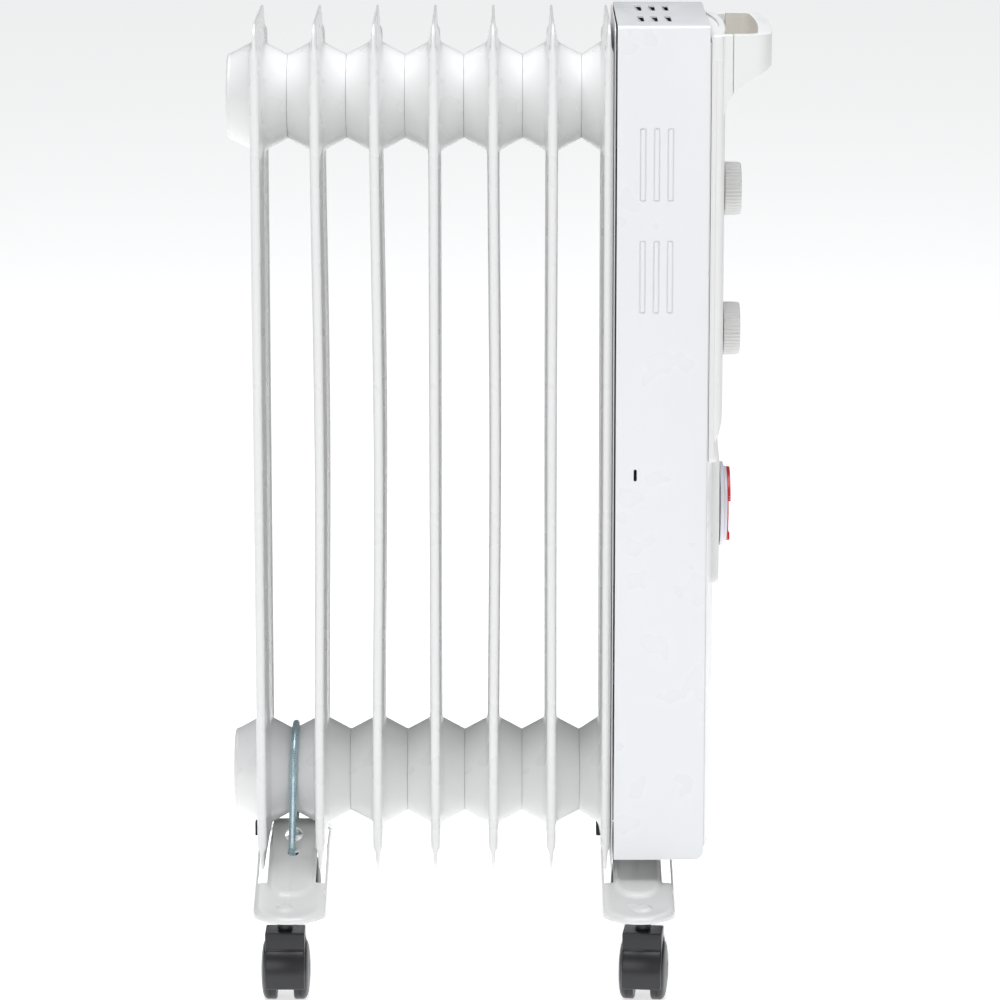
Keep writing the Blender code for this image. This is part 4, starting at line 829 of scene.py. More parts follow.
def panel_levels():
    """The sections of the panel from its top down: (height, half width, recess, side step)."""
    top = PANEL_HIGH.z
    half = PANEL_HIGH.y
    flush = 0.02 * MM
    levels = []
    for turn in spread(math.pi / 2, 0, 5):
        inset = EDGE_ROUND_TOP * (1 - math.cos(turn))
        levels.append((top - EDGE_ROUND_TOP * (1 - math.sin(turn)), half - inset, inset, flush))
    levels.append((SIDE_STEP_TOP, half, 0.0, flush))
    for turn in spread(0, math.pi / 2, 4)[1:]:
        levels.append((SIDE_STEP_TOP - 3.0 * MM * math.sin(turn), half, 0.0,
                       flush + SIDE_STEP * (1 - math.cos(turn))))
    for level, recess in FACE_PROFILE:
        levels.append((level * MM, half, recess * MM, SIDE_STEP))
    full = PANEL_FACE_X - PANEL_STEP_X
    end = PANEL_FACE_X - TONGUE_FACE_X

    def slope(level):
        return blend(end, full, min(max((level - SLOPE_Z) / (PANEL_STEP_Z - SLOPE_Z), 0.0), 1.0))

    for turn in spread(math.pi / 2, 0, 5):
        level = PANEL_SIDE_BOTTOM + SIDE_CORNER * (1 - math.cos(turn))
        levels.append((level, half - SIDE_CORNER * (1 - math.sin(turn)), slope(level), SIDE_STEP))
    levels.append((PANEL_SIDE_BOTTOM - 0.3 * MM, TONGUE_HALF, slope(PANEL_SIDE_BOTTOM), flush))
    for level in (SLOPE_Z + 2.0 * MM, SLOPE_Z, SLOPE_Z - 2.0 * MM):
        levels.append((level, TONGUE_HALF, slope(level), flush))
    for turn in spread(0, math.pi / 2, 6):
        inset = TONGUE_CORNER * (1 - math.cos(turn))
        level = PANEL_LOW.z + TONGUE_CORNER * (1 - math.sin(turn))
        levels.append((level, TONGUE_HALF - inset, end + 0.12 * inset, flush))
    return levels


def make_control_panel():
    """The moulded face with its step, and the tongue that carries the timer."""
    top = PANEL_HIGH.z
    shape = Shape(loft_mesh("panel", [panel_section(level, half, recess, PANEL_CORNER, step)
                                      for level, half, recess, step in panel_levels()]))
    lip = [(LIP_REAR, LIP_HALF), (LIP_REAR, -LIP_HALF)]
    lip += [(front_bow(y) + 1.5 * MM, y) for y in spread(-LIP_HALF, LIP_HALF, 30)]
    shape.combine("UNION", prism_mesh("lip", lip, PLATE_HIGH.z + GAP, top - 1.6 * MM, "z"))
    for side in (-1, 1):
        shape.combine("UNION", cheek_mesh(side, stub_outline(), HANDLE_HIGH.y - CHEEK, HANDLE_HIGH.y))
    cut_control_holes(shape, 0, 2 * PANEL_HIGH.x)
    add_piece("moulded_control_panel", shape.mesh, "panel", ROOT, ["control_panel"], sharp=30.0)


def underside():
    """The handle's underside from its front edge back to the face, as a chain in X and Z."""
    return [(HANDLE_HIGH.x + 0.4 * MM, 615.0 * MM), (175.9 * MM, 612.0 * MM), (174.8 * MM, 609.8 * MM),
            (171.6 * MM, 607.2 * MM), (167.6 * MM, 604.7 * MM), (163.4 * MM, 602.2 * MM),
            (159.2 * MM, 599.8 * MM), (155.3 * MM, 597.2 * MM), (152.0 * MM, 594.4 * MM),
            (149.2 * MM, 591.2 * MM)]


def stub_outline():
    """The part of each cheek that belongs to the panel, behind the seam."""
    front = SEAM_X - GAP
    return [(PANEL_STEP_X - 2 * MM, PANEL_HIGH.z - 0.05 * MM), (PANEL_STEP_X - 2 * MM, 566.0 * MM),
            (142.7 * MM, 568.0 * MM), (143.1 * MM, 573.5 * MM), (143.9 * MM, 578.5 * MM),
            (144.7 * MM, 582.4 * MM), (145.8 * MM, 585.8 * MM), (147.4 * MM, 588.8 * MM),
            (front, 591.2 * MM), (front, PANEL_HIGH.z - 0.05 * MM)]


def cheek_mesh(side, outline, inner, outer):
    low, high = sorted((side * inner, side * outer))
    return Shape(prism_mesh("cheek", outline, low, high, "y")).bevel(0.8 * MM, 3, 50.0).mesh


def handle_bow(y, inset=0.0):
    return HANDLE_HIGH.x - inset - 3.6 * MM * (y / BOW_HALF) ** 2


def make_handle():
    """Two cheeks and a bowed grip round an open slot."""
    half = HANDLE_HIGH.y
    corner = 9.0 * MM
    corner_x = handle_bow(half) - corner
    outline = [(SEAM_X, -half)]
    outline += arc((corner_x, corner - half), corner, -90, -24, 8)
    outline += [(handle_bow(y), y) for y in spread(corner - half, half - corner, 30)]
    outline += arc((corner_x, half - corner), corner, 24, 90, 8)
    outline.append((SEAM_X, half))
    top = HANDLE_HIGH.z
    side = [(SEAM_X - MM, top), (SEAM_X - MM, 590.4 * MM)]
    side += list(reversed(underside())) + [(HANDLE_HIGH.x + 0.4 * MM, top)]
    shape = Shape(prism_mesh("handle", outline, 580.0 * MM, top, "z"))
    shape.combine("INTERSECT", prism_mesh("side", side, -2 * half, 2 * half, "y"))
    slot_half = half - CHEEK
    round_in = 5.0 * MM
    rear = SEAM_X - 4 * MM
    reach = handle_bow(slot_half, GRIP)
    slot = [(rear, -slot_half)]
    slot += arc((reach - round_in, round_in - slot_half), round_in, -90, -10, 6)
    slot += [(handle_bow(y, GRIP), y) for y in spread(round_in - slot_half, slot_half - round_in, 30)]
    slot += arc((reach - round_in, slot_half - round_in), round_in, 10, 90, 6)
    slot.append((rear, slot_half))
    shape.combine("DIFFERENCE", prism_mesh("slot", slot, 570.0 * MM, top + MM, "z"))
    shape.bevel(1.3 * MM, 3, 40.0)
    mesh = shape.mesh
    add_piece("moulded_carrying_handle", mesh, "panel", ROOT, ["handle"], sharp=30.0)
    # Faces inside the grip slot take the darker, warmer colour that paints the slot's shade and warm
    # reflection
    mesh.materials.append(MATERIALS["grip_slot_shade"])
    for face in mesh.polygons:
        spot = face.center
        within = abs(spot.y) < slot_half + 0.4 * MM and spot.x < handle_bow(spot.y, 8.0 * MM)
        face.material_index = 1 if within and spot.z < top - 1.5 * MM else 0


# ---------------------------------------------------------------- dial marks

def flat_text(text, size, thickness):
    """A word or number as a thin solid in the YZ plane, read from +X."""
    curve = bpy.data.curves.new("mark", "FONT")
    curve.body = text
    curve.size = size
    curve.extrude = thickness / 2
    curve.align_x = "CENTER"
    curve.align_y = "CENTER"
    item = bpy.data.objects.new("mark", curve)
    bpy.context.scene.collection.objects.link(item)
    bpy.context.view_layer.update()
    mesh = bpy.data.meshes.new_from_object(item.evaluated_get(bpy.context.evaluated_depsgraph_get()))
    bpy.data.objects.remove(item, do_unlink=True)
    facing = Matrix(((0, 0, 1, 0), (1, 0, 0, 0), (0, 1, 0, 0), (0, 0, 0, 1)))
    mesh.transform(facing)
    return mesh


def make_panel_marks():
    """Generic numbers and ticks round the two knobs, printed on the bowed face."""
    marks = []
    thick = 0.12 * MM
    scales = ((CONTROL_ZS[0], ("0", "1", "2", "3"), 135.0), (CONTROL_ZS[1], tuple("0123456"), 270.0))
    for z, numbers, sweep in scales:
        for index, number in enumerate(numbers):
            turn = math.radians(90 + sweep / 2 - sweep * index / (len(numbers) - 1))
            y, up = math.cos(turn), math.sin(turn)
            radius = 25.5 * MM
            marks.append(moved(flat_text(number, 5.2 * MM, thick),
                               Matrix.Translation((0, radius * y, z + radius * up))))
            tick = boxes_mesh("tick", [((-thick / 2, -0.3 * MM, 19.2 * MM),
                                        (thick / 2, 0.3 * MM, 21.4 * MM))])
            spin = Matrix.Translation((0, 0, z)) @ Matrix.Rotation(turn - math.pi / 2, 4, "X")
            marks.append(moved(tick, spin))
    mesh = joined("panel_marks", marks)
    for vertex in mesh.vertices:
        vertex.co.x += panel_bow(vertex.co.y) + 0.04 * MM
    add_piece("panel_dial_marks", mesh, "ink", ROOT)


# ---------------------------------------------------------------- knobs and timer

FLUTES = 44


def fluted(angle, radius, along):
    """Shallow scallops round a knob's rim, none near its middle."""
    if radius < 16.2 * MM:
        return radius
    return radius - 0.42 * MM * (0.5 - 0.5 * math.cos(FLUTES * angle)) ** 1.6


def make_knob(prefix, body):
    node = f"{prefix}_knob"
    low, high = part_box(node)
    z = middle(node).z
    radius = (high.z - low.z) / 2
    front = high.x
    rear = low.x
    bore = 3.4 * MM
    profile = [(0, front - 0.75 * MM), (7 * MM, front - 0.7 * MM), (13.5 * MM, front - 0.35 * MM),
               (15.2 * MM, front), (radius - 1.5 * MM, front - 0.05 * MM),
               (radius - 0.75 * MM, front - 0.45 * MM),
               (radius - 0.4 * MM, front - 1.2 * MM), (radius - 0.15 * MM, front - 3.5 * MM),
               (radius, rear + 2.2 * MM), (radius, rear + 0.4 * MM), (radius - 0.4 * MM, rear),
               (bore, rear), (bore, front - 4.4 * MM), (0, front - 4.4 * MM)]
    shape = Shape(lathe_mesh(node, profile, FLUTES * 8, wave=fluted))
    pointer = boxes_mesh("pointer", [((front - 1.25 * MM, -0.7 * MM, 4.5 * MM),
                                      (front + MM, 0.7 * MM, 13.6 * MM))])
    shape.combine("DIFFERENCE", Shape(pointer).bevel(0.3 * MM, 2).mesh)
    place = Matrix.Translation((0, 0, z)) @ Matrix.Rotation(KNOB_TURNS[prefix], 4, "X")
    add_piece(f"fluted_{node}", shape.mesh, "knob", body, [node], place, 40.0)
    line = boxes_mesh("line", [((front - 1.24 * MM, -0.45 * MM, 4.8 * MM),
                                (front - 0.95 * MM, 0.45 * MM, 13.3 * MM))])
    add_piece(f"{prefix}_pointer_line", line, "ink", body, (), place)


# Each pointer stands at the first number of its scale
KNOB_TURNS = {"power": math.radians(135.0 / 2), "thermostat": math.radians(270.0 / 2)}

TAPPET_COUNT = 96
TAPPET_RADII = (19.7 * MM, 24.6 * MM)
TAPPET_SHARE = 0.74
# Tappets pushed in, as the first and last of their run counted anticlockwise from +Y
PUSHED_IN = (44, 64)


def make_timer():
    axis = Matrix.Translation((0, 0, TIMER_Z))
    low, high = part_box("timer_body")
    flange = (high.z - low.z) / 2
    front = high.x
    rear = front - 2.65 * MM
    drum = 24.0 * MM
    bore = 2.85 * MM
    body = [(0, rear - 3 * MM), (bore, rear - 3 * MM), (bore, front - 0.25 * MM),
            (25.2 * MM, front - 0.25 * MM), (25.5 * MM, front), (flange - 1.2 * MM, front),
            (flange - 0.5 * MM, front - 0.2 * MM), (flange - 0.1 * MM, front - 0.8 * MM),
            (flange, rear + 0.2 * MM), (flange - 0.2 * MM, rear), (drum, rear), (drum, low.x + MM),
            (drum - MM, low.x), (0, low.x)]
    add_piece("timer_housing", lathe_mesh("timer_housing", body, 96), "timer", ROOT, ["timer_body"], axis)
    low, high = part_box("timer_dial")
    hub_front = high.x
    dial = (high.z - low.z) / 2
    seat = front + 0.2 * MM
    face = front + 1.95 * MM
    ring = [(0, hub_front - 0.2 * MM), (8.5 * MM, hub_front - 0.2 * MM), (9.4 * MM, hub_front),
            (10.8 * MM, hub_front - 0.05 * MM), (11.8 * MM, hub_front - 0.5 * MM),
            (12.0 * MM, face + 0.2 * MM),
            (12.4 * MM, face), (dial - 0.4 * MM, face), (dial, face - 0.4 * MM), (dial, seat),
            (2.5 * MM, seat), (2.5 * MM, low.x), (0, low.x)]
    add_piece("timer_dial_face", lathe_mesh("timer_dial_face", ring, 96), "timer", "timer_ring",
              ["timer_dial"], axis)
    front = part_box("timer_tappets")[1].x
    tappets = []
    for index in range(TAPPET_COUNT):
        pushed = PUSHED_IN[0] <= index < PUSHED_IN[1]
        reach = front - (1.35 * MM if pushed else 0.0)
        half = math.pi / TAPPET_COUNT * TAPPET_SHARE
        middle_turn = 2 * math.pi * (index + 0.5) / TAPPET_COUNT
        inner, outer = TAPPET_RADII
        section = [(inner, -half * 0.9), (outer, -half), (outer, half), (inner, half * 0.9)]
        rings = []
        for x, share in ((face + 0.02 * MM, 1.0), (reach - 0.3 * MM, 1.0), (reach, 0.72)):
            ring_points = []
            for radius, turn in section:
                size = blend((inner + outer) / 2, radius, blend(1.0, 0.9, 1 - share))
                angle = middle_turn + turn * share
                ring_points.append((x, size * math.cos(angle), size * math.sin(angle)))
            rings.append(ring_points)
        tappets.append(loft_mesh("tappet", rings))
    add_piece("timer_tappet_ring", joined("timer_tappet_ring", tappets), "tappet", "timer_ring",
              ["timer_tappets"], axis)
    numbers = []
    for hour in range(2, 25, 2):
        turn = math.radians(90 - hour * 15)
        radius = 16.0 * MM
        spin = Matrix.Rotation(turn - math.pi / 2, 4, "X")
        text = moved(flat_text(str(hour), 3.4 * MM, 0.1 * MM), Matrix.Translation((face, 0, radius)))
        numbers.append(moved(text, axis @ spin))
    arrow = prism_mesh("arrow", [(-1.4 * MM, 4.0 * MM), (1.4 * MM, 4.0 * MM), (0, 7.4 * MM)],
                       hub_front - 0.22 * MM, hub_front - 0.1 * MM, "x")
    numbers.append(moved(arrow, axis))
    add_piece("timer_hour_numbers", joined("timer_hour_numbers", numbers), "ink", "timer_ring")


# ---------------------------------------------------------------- feet, U-bolts and nuts

FOOT_LOW, FOOT_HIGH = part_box("foot_bracket_rear")
FOOT_HALF_WIDTH = (FOOT_HIGH.x - FOOT_LOW.x) / 2
FOOT_HALF_LENGTH = FOOT_HIGH.y
FOOT_SHEET = 1.6 * MM
FOOT_FLANGE = 9.0 * MM
# The foot's back in millimetres: (distance from the middle, height)
FOOT_ARCH = ((0.0, 84.1), (24.0, 84.1), (31.0, 79.3), (60.0, 73.0), (82.0, 67.6), (99.0, 64.2),
             (110.0, 63.2), (118.0, 62.8))
ARCH_ROUND = 5.0 * MM
RIDGE_HALF = (12.5 * MM, 82.0 * MM)
RIDGE_DROP = 2.0 * MM
RIDGE_FADE = 3.2 * MM
BUMP_Y = 100.0 * MM
BUMP_SHIFT = {"rear": -2.6 * MM, "front": 2.6 * MM}
BUMP_RADIUS = 6.3 * MM
BUMP_RISE = 1.3 * MM
FIN_SLOT = (19.03 * MM, 3.1 * MM, 66.0 * MM)
FOOT_HOLE = 6.0 * MM
FOOT_HOLE_Y = 16.1 * MM
# The raised middle under the header, in millimetres: (distance from the middle, height)
SADDLE = ((29.0, 80.7), (23.0, 84.2), (9.0, 92.3), (5.0, 93.3), (0.0, 93.4))
SADDLE_HALF = 14.2 * MM
SADDLE_FADE = 1.6 * MM
# Share of the flange's depth that is left round the ends of the foot
NOSE_FLANGE = 0.6
LEG_HOLE = 3.9 * MM
BOLT_RADIUS = 30.7 * MM
WIRE_RADIUS = 2.45 * MM
FOOT_XS = {"rear": middle("foot_bracket_rear").x, "front": middle("foot_bracket_front").x}


def arch_line(y):
    place = min(abs(y), FOOT_HALF_LENGTH)
    for (start, low), (end, high) in zip(FOOT_ARCH, FOOT_ARCH[1:]):
        if place <= end * MM:
            return blend(low, high, (place - start * MM) / ((end - start) * MM)) * MM
    return FOOT_ARCH[-1][1] * MM


def arch(y):
    """Height of the foot's back, its bends rounded off."""
    samples = [arch_line(y + shift) for shift in spread(-ARCH_ROUND, ARCH_ROUND, 6)]
    return sum(samples) / len(samples)


def saddle_height(y):
    place = abs(y) / MM
    for (end, low), (start, high) in zip(SADDLE, SADDLE[1:]):
        if place >= start:
            return blend(high, low, min((place - start) / (end - start), 1.0)) * MM
    return SADDLE[-1][1] * MM


def foot_top(x, y, end):
    """Pressed relief: a raised middle with round ends, a boss over each stem, a fine crease."""
    beyond = max(abs(y) - (RIDGE_HALF[1] - RIDGE_HALF[0]), 0.0)
    distance = math.hypot(x, beyond) - RIDGE_HALF[0]
    height = arch(y) - RIDGE_DROP * smooth(distance / RIDGE_FADE)
    if abs(y) < SADDLE[0][0] * MM:
        inside = smooth((SADDLE_HALF + SADDLE_FADE - abs(x)) / SADDLE_FADE)
        height = blend(height, saddle_height(y), inside)
    from_boss = math.hypot(x - BUMP_SHIFT[end], abs(y) - BUMP_Y) / BUMP_RADIUS
    if from_boss < 1:
        height += BUMP_RISE * smooth((1 - from_boss) * 2.2)
    if end == "rear" and -96 * MM < y < -34 * MM:
        line = x + 0.5 * MM + 0.012 * (y + 34 * MM)
        height += 0.35 * MM * math.exp(-(line / (0.55 * MM)) ** 2)
    return height


def stadium_ring(offset, count_side, count_end):
    """Points at one distance from the foot's spine, all the way round."""
    spine = FOOT_HALF_LENGTH - FOOT_HALF_WIDTH
    ring = [(offset, y) for y in spread(-spine, spine, count_side)[:-1]]
    ring += [(offset * math.cos(turn), spine + offset * math.sin(turn))
             for turn in spread(0, math.pi, count_end)[:-1]]
    ring += [(-offset, y) for y in spread(spine, -spine, count_side)[:-1]]
    ring += [(-offset * math.cos(turn), -spine - offset * math.sin(turn))
             for turn in spread(0, math.pi, count_end)[:-1]]
    return ring


def foot_mesh(end):
    """A pressed shell: top skin, turned-down flange and underside."""
    half = FOOT_HALF_WIDTH
    bend = 4.5 * MM
    rings = []
    offsets = [step * MM for step in range(17)] + [17.5 * MM, half - bend]
    for offset in offsets:
        rings.append([(x, y, foot_top(x, y, end)) for x, y in stadium_ring(offset, 90, 36)])

    def rim(offset, drop):
        ring = []
        for x, y in stadium_ring(offset, 90, 36):
            share = smooth((abs(y) - 92 * MM) / (22 * MM))
            ring.append((x, y, arch(y) - RIDGE_DROP - drop * blend(1.0, NOSE_FLANGE, share)))
        return ring

    flange = FOOT_FLANGE - RIDGE_DROP
    rings += [rim(half - bend + bend * math.sin(turn), bend * (1 - math.cos(turn)))
              for turn in spread(0, math.pi / 2, 5)[1:]]
    rings += [rim(half, flange - 0.3 * MM), rim(half - 0.3 * MM, flange),
              rim(half - FOOT_SHEET + 0.3 * MM, flange), rim(half - FOOT_SHEET, flange - 0.3 * MM)]
    inner = bend - FOOT_SHEET
    rings += [rim(half - bend + inner * math.sin(turn), FOOT_SHEET + inner * (1 - math.cos(turn)))
              for turn in spread(math.pi / 2, 0, 4)]
    for offset in reversed(offsets[:-1]):
        rings.append([(x, y, foot_top(x, y, end) - FOOT_SHEET) for x, y in stadium_ring(offset, 90, 36)])
    return loft_mesh("foot", rings, capped=False)


def make_feet():
    for end, x in FOOT_XS.items():
        shape = Shape(foot_mesh(end))
        centre, half, reach = FIN_SLOT
        above = 2 * FOOT_HIGH.z
        slots = [((side * centre - half, -reach, 0), (side * centre + half, reach, above))
                 for side in (-1, 1)]
        shape.combine("DIFFERENCE", Shape(boxes_mesh("slots", slots)).bevel(1.5 * MM, 3).mesh)
        for hole_y, radius, segments in ((FOOT_HOLE_Y, FOOT_HOLE, 40), (BOLT_RADIUS, LEG_HOLE, 24)):
            holes = [((0, y, 0), (0, y, above)) for y in (-hole_y, hole_y)]
            shape.combine("DIFFERENCE", rods_mesh("holes", holes, radius, segments))
        add_piece(f"pressed_foot_{end}", shape.mesh, "foot", ROOT, [f"foot_bracket_{end}"],
                  Matrix.Translation((x, 0, 0)), 35.0)
        make_u_bolt(end, x)
        for side in ("near", "far"):
            make_wing_nut(end, side)


def make_u_bolt(end, x):
    """Bent rod over the header, leaning a little, with rolled threads on both legs."""
    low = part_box(f"u_bolt_{end}")[0].z
    lean = 1.3 * MM if end == "rear" else 0.4 * MM
    thread_top = 84.0 * MM
    pitch = 1.0 * MM
    radius = BOLT_RADIUS + 0.1 * MM
    levels = spread(low, thread_top, int((thread_top - low) / pitch * 4))
    leg = [(-radius, z) for z in levels + spread(thread_top, BOTTOM_HEADER_Z, 6)[1:]]
    bend = [(radius * math.cos(turn), BOTTOM_HEADER_Z + radius * math.sin(turn))
            for turn in spread(math.pi, 0, 40)[1:-1]]
    line = leg + bend + [(-y, z) for y, z in reversed(leg)]
    top = BOTTOM_HEADER_Z + radius
    route = [(lean * (2 * (z - low) / (top - low) - 1), y, z) for y, z in line]
    radii = []
    for y, z in line:
        if z < thread_top - 0.1 * MM:
            tooth = abs(((z - low) / pitch) % 1 - 0.5) * 2
            size = WIRE_RADIUS - 0.32 * MM * tooth
            size = min(size, WIRE_RADIUS - 0.7 * MM + (z - low))
        else:
            size = WIRE_RADIUS - 0.12 * MM
        radii.append(size)
    add_piece(f"u_bolt_{end}_rod", tube_mesh("u_bolt", route, radii, 20), "zinc", ROOT,
              [f"u_bolt_{end}"], Matrix.Translation((x, 0, 0)), 50.0)


def make_wing_nut(end, side):
    """A cast hub with two rounded wings."""
    node = f"wing_nut_{end}_{side}"
    low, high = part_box(node)
    centre = (low + high) / 2
    hub_low = high.z - 6.0 * MM
    profile = [(2.9 * MM, high.z), (4.2 * MM, high.z), (5.2 * MM, high.z - 0.8 * MM),
               (4.6 * MM, hub_low + 0.4 * MM), (4.2 * MM, hub_low), (2.9 * MM, hub_low)]
    place = Matrix.Translation((centre.x, centre.y, 0)) @ UPRIGHT
    shape = Shape(moved(lathe_mesh("hub", profile, 32, closed=True), place))
    for wing in (-1, 1):
        reach = (high.x - low.x) / 2
        outline = [(3.6 * MM, hub_low + MM), (4.6 * MM, high.z - MM)]
        outline += arc((reach - 3.2 * MM, low.z + 4.2 * MM), 3.2 * MM, 75, -110, 10)
        outline = [(centre.x + wing * across, up) for across, up in outline]
        blade = prism_mesh("wing", outline, centre.y - 1.0 * MM, centre.y + 1.0 * MM, "y")
        shape.combine("UNION", Shape(blade).bevel(0.4 * MM, 2).mesh)
    add_piece(f"{node}_cast", shape.mesh, "steel", ROOT, [node], sharp=35.0)


# ---------------------------------------------------------------- casters

HEADINGS = {"rear_near": 0.0, "front_near": -6.0, "rear_far": 180.0, "front_far": 174.0}
CASTER_Y = 100.0 * MM
TRAIL = 5.0 * MM
WHEEL_RADIUS = 20.0 * MM
HOOD_RADIUS = 22.6 * MM
HOOD_HALF = 12.9 * MM
HOOD_TOP_HALF = 10.0 * MM
HOOD_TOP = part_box("caster_hood_rear_near")[1].z
WEB_HALF = 5.2 * MM


def hood_outline():
    """The fender seen from the side: round about the axle, flat on top under the stem."""
    axle = (TRAIL, WHEEL_RADIUS)
    rise = math.degrees(math.asin((HOOD_TOP_HALF - TRAIL) / HOOD_RADIUS))
    front = math.degrees(math.asin((HOOD_TOP_HALF + TRAIL) / HOOD_RADIUS))
    outline = arc(axle, HOOD_RADIUS, 22, 90 - rise, 14)
    outline += [(HOOD_TOP_HALF, HOOD_TOP), (-HOOD_TOP_HALF, HOOD_TOP)]
    outline += arc(axle, HOOD_RADIUS, 90 + front, 201, 20)
    outline.append((TRAIL, WHEEL_RADIUS / 2))
    return outline


def hood_mesh():
    shape = Shape(prism_mesh("hood", hood_outline(), -HOOD_HALF, HOOD_HALF, "x"))
    shape.bevel(1.1 * MM, 3, 40.0)
    axle = (TRAIL, WHEEL_RADIUS)
    spans = [((side * WEB_HALF, *axle), (side * 2 * HOOD_HALF, *axle)) for side in (-1, 1)]
    shape.combine("DIFFERENCE", rods_mesh("wells", spans, WHEEL_RADIUS + 0.8 * MM, 96))
    bore = [((-HOOD_HALF, *axle), (HOOD_HALF, *axle))]
    shape.combine("DIFFERENCE", rods_mesh("bore", bore, 2.9 * MM, 24))
    pin = [((0, 0, 27.5 * MM), (0, 0, HOOD_TOP + MM))]
    shape.combine("DIFFERENCE", rods_mesh("pin", pin, 3.4 * MM, 24))
    return shape.mesh


def wheel_mesh(side):
    """A twin wheel's half about its axle: domed face with a hub ring, and a tread with a bead."""
    inner = 5.6 * MM
    outer = 14.6 * MM
    dome = 16.0 * MM
    radius = WHEEL_RADIUS
    profile = [(0, dome), (4.6 * MM, dome - 0.02 * MM), (5.2 * MM, dome - 0.45 * MM),
               (6.0 * MM, dome - 0.45 * MM),
               (6.6 * MM, dome - 0.12 * MM), (11.5 * MM, dome - 0.5 * MM), (15.5 * MM, dome - 1.1 * MM),
               (17.4 * MM, outer - 0.25 * MM), (18.9 * MM, outer - 1.1 * MM),
               (19.7 * MM, outer - 2.2 * MM), (radius, outer - 3.4 * MM), (radius, outer - 4.6 * MM),
               (radius - 0.25 * MM, outer - 4.8 * MM), (radius - 0.25 * MM, outer - 5.0 * MM),
               (radius, outer - 5.2 * MM), (radius, inner + 0.8 * MM),
               (radius - 0.8 * MM, inner), (2.9 * MM, inner), (2.9 * MM, 13.55 * MM), (0, 13.55 * MM)]
    return lathe_mesh("wheel", [(spot, side * along) for spot, along in profile], 72)


def stem_mesh():
    """Black socket stem with a shoulder and a ring groove."""
    low = HOOD_TOP + GAP
    profile = [(0, 29.0 * MM), (2.6 * MM, 29.0 * MM), (3.0 * MM, 29.5 * MM), (3.0 * MM, low),
               (4.9 * MM, low), (5.0 * MM, low + 0.4 * MM), (5.0 * MM, low + 3.2 * MM),
               (4.6 * MM, low + 3.5 * MM),
               (4.6 * MM, low + 4.2 * MM), (5.0 * MM, low + 4.5 * MM), (5.0 * MM, 61.0 * MM),
               (4.4 * MM, 61.6 * MM), (0, 61.6 * MM)]
    return moved(lathe_mesh("stem", profile, 40), UPRIGHT)


def make_casters():
    hood = hood_mesh()
    stem = stem_mesh()
    wheels = {"a": wheel_mesh(-1), "b": wheel_mesh(1)}
    for corner, heading in HEADINGS.items():
        end, side = corner.split("_")
        stem_x = middle(f"caster_stem_{corner}").x
        spot = Matrix.Translation((stem_x, -CASTER_Y if side == "near" else CASTER_Y, 0))
        place = spot @ Matrix.Rotation(math.radians(heading), 4, "Z")
        add_piece(f"moulded_caster_stem_{corner}", stem.copy(), "caster", ROOT,
                  [f"caster_stem_{corner}"], spot)
        add_piece(f"moulded_caster_hood_{corner}", hood.copy(), "caster", f"caster_{corner}",
                  [f"caster_hood_{corner}"], place)
        for letter, wheel in wheels.items():
            axle = place @ Matrix.Translation((0, TRAIL, WHEEL_RADIUS))
            add_piece(f"domed_wheel_{corner}_{letter}", wheel.copy(), "caster", f"wheel_{corner}_{letter}",
                      [f"caster_wheel_{corner}_{letter}"], axle)


# ---------------------------------------------------------------- CAD nodes that stay

KEPT_FINISHES = {
    "element_flange": "steel", "heating_element_long": "steel", "heating_element_short": "steel",
    "power_spindle": "steel", "thermostat_spindle": "steel", "thermal_cutout": "steel",
    "power_switch": "inner", "thermostat": "inner", "terminal_block": "inner", "cable_gland": "inner",
    "header_cap_top_front": "fin", "rubber_buffer_rear": "rubber", "rubber_buffer_front": "rubber",
    "caster_axle_rear_near": "steel", "caster_axle_rear_far": "steel",
    "caster_axle_front_near": "steel", "caster_axle_front_far": "steel"}


def finish_kept_nodes():
    """Gives each CAD node that still shows a procedural material."""
    for node, finish in KEPT_FINISHES.items():
        item = NODES[node]
        item.data.materials.clear()
        item.data.materials.append(MATERIALS[finish])


# ---------------------------------------------------------------- floor, light and camera

def make_floor():
    """A wide pale floor that runs past the picture's edges."""
    bpy.ops.mesh.primitive_plane_add(size=60.0, location=(0, 0, 0))
    floor = bpy.context.object
    floor.name = "studio_floor"
    material, nodes, links, shader = new_material("pale_floor")
    shader.inputs["Base Color"].default_value = (0.90, 0.90, 0.90, 1.0)
    shader.inputs["Roughness"].default_value = 0.9
    shader.inputs["Specular IOR Level"].default_value = 0.1
    shader.inputs["Emission Color"].default_value = (1.0, 1.0, 1.0, 1.0)
    shader.inputs["Emission Strength"].default_value = 0.66
    floor.data.materials.append(material)


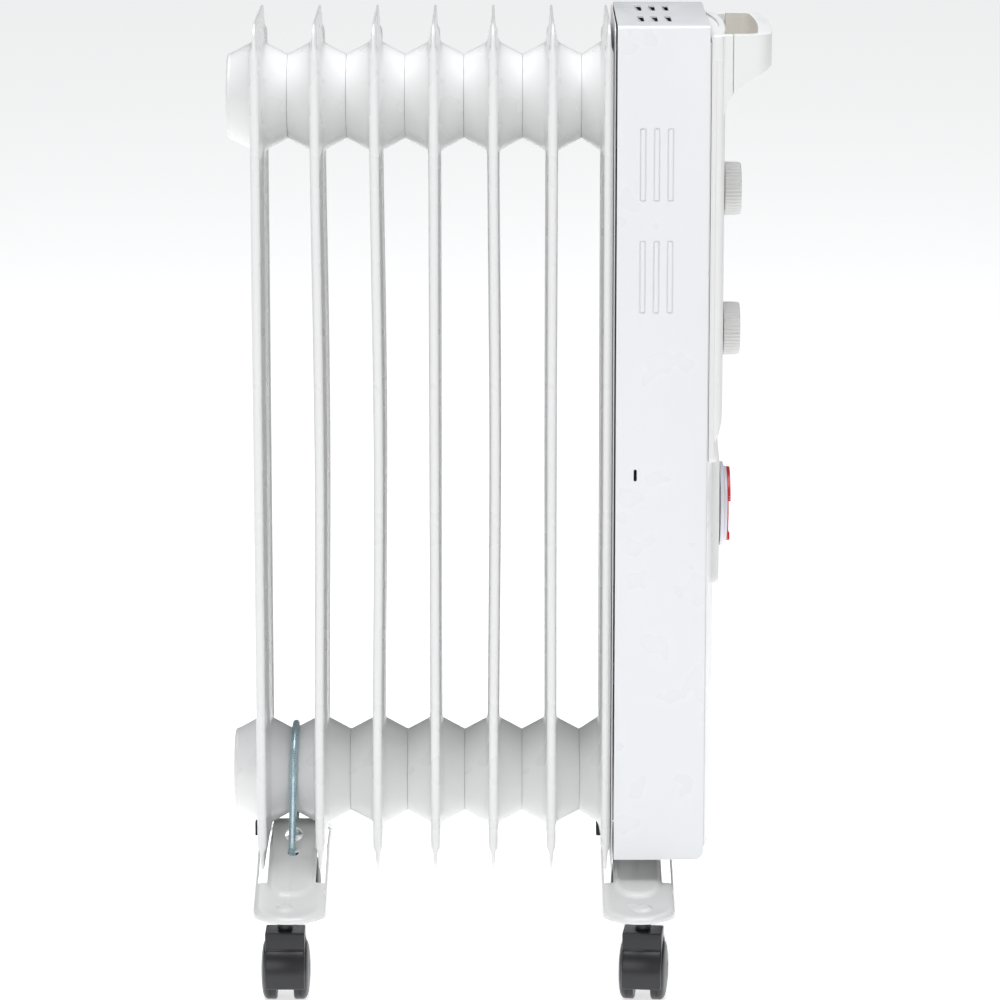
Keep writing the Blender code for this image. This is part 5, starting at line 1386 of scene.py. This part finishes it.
# Each light's name, place, size, power and colour; all are turned to LIGHT_TARGET
LIGHTS = (("key_left", (-1.1, -2.9, 1.5), 1.5, 14.0, (1.0, 1.0, 1.0)),
          ("fill_right", (1.2, -2.9, 0.9), 1.5, 6.0, (1.0, 1.0, 1.0)),
          ("overhead", (0.0, -0.2, 2.6), 1.8, 54.0, (0.97, 0.98, 1.0)))
LIGHT_TARGET = (0, 0, 0.33)


def add_area_light(name, location, size, power, colour):
    light = bpy.data.lights.new(name, "AREA")
    light.shape = "SQUARE"
    light.size = size
    light.energy = power
    light.color = colour
    item = bpy.data.objects.new(name, light)
    bpy.context.scene.collection.objects.link(item)
    item.location = location
    item.rotation_euler = (Vector(LIGHT_TARGET) - Vector(location)).to_track_quat("-Z", "Y").to_euler()


def make_light():
    world = bpy.data.worlds.new("studio")
    world.use_nodes = True
    background = world.node_tree.nodes["Background"]
    background.inputs["Color"].default_value = (0.95, 0.97, 1.0, 1.0)
    background.inputs["Strength"].default_value = 0.20
    bpy.context.scene.world = world
    for light in LIGHTS:
        add_area_light(*light)


CAMERA_DISTANCE = 3.2
CAMERA_DROP = math.radians(12.3)
CAMERA_AIM = (0.8 * MM, 0.0, 313.2 * MM)
CAMERA_LENS = 174.2


def make_camera():
    data = bpy.data.cameras.new("camera")
    data.sensor_width = 36.0
    data.lens = CAMERA_LENS
    camera = bpy.data.objects.new("camera", data)
    bpy.context.scene.collection.objects.link(camera)
    camera.location = (CAMERA_AIM[0], -CAMERA_DISTANCE * math.cos(CAMERA_DROP),
                       CAMERA_AIM[2] + CAMERA_DISTANCE * math.sin(CAMERA_DROP))
    camera.rotation_euler = (math.pi / 2 - CAMERA_DROP, 0.0, 0.0)
    bpy.context.scene.camera = camera


make_camera()
make_fins()
make_header_caps()
make_housing_cover()
make_vent_flaps()
make_front_plate()
make_back_plate()
make_control_panel()
make_handle()
make_panel_marks()
make_knob("power", "power_control")
make_knob("thermostat", "thermostat_control")
make_timer()
make_feet()
make_casters()
finish_kept_nodes()
make_floor()
make_light()
bpy.context.scene.view_settings.view_transform = "Standard"
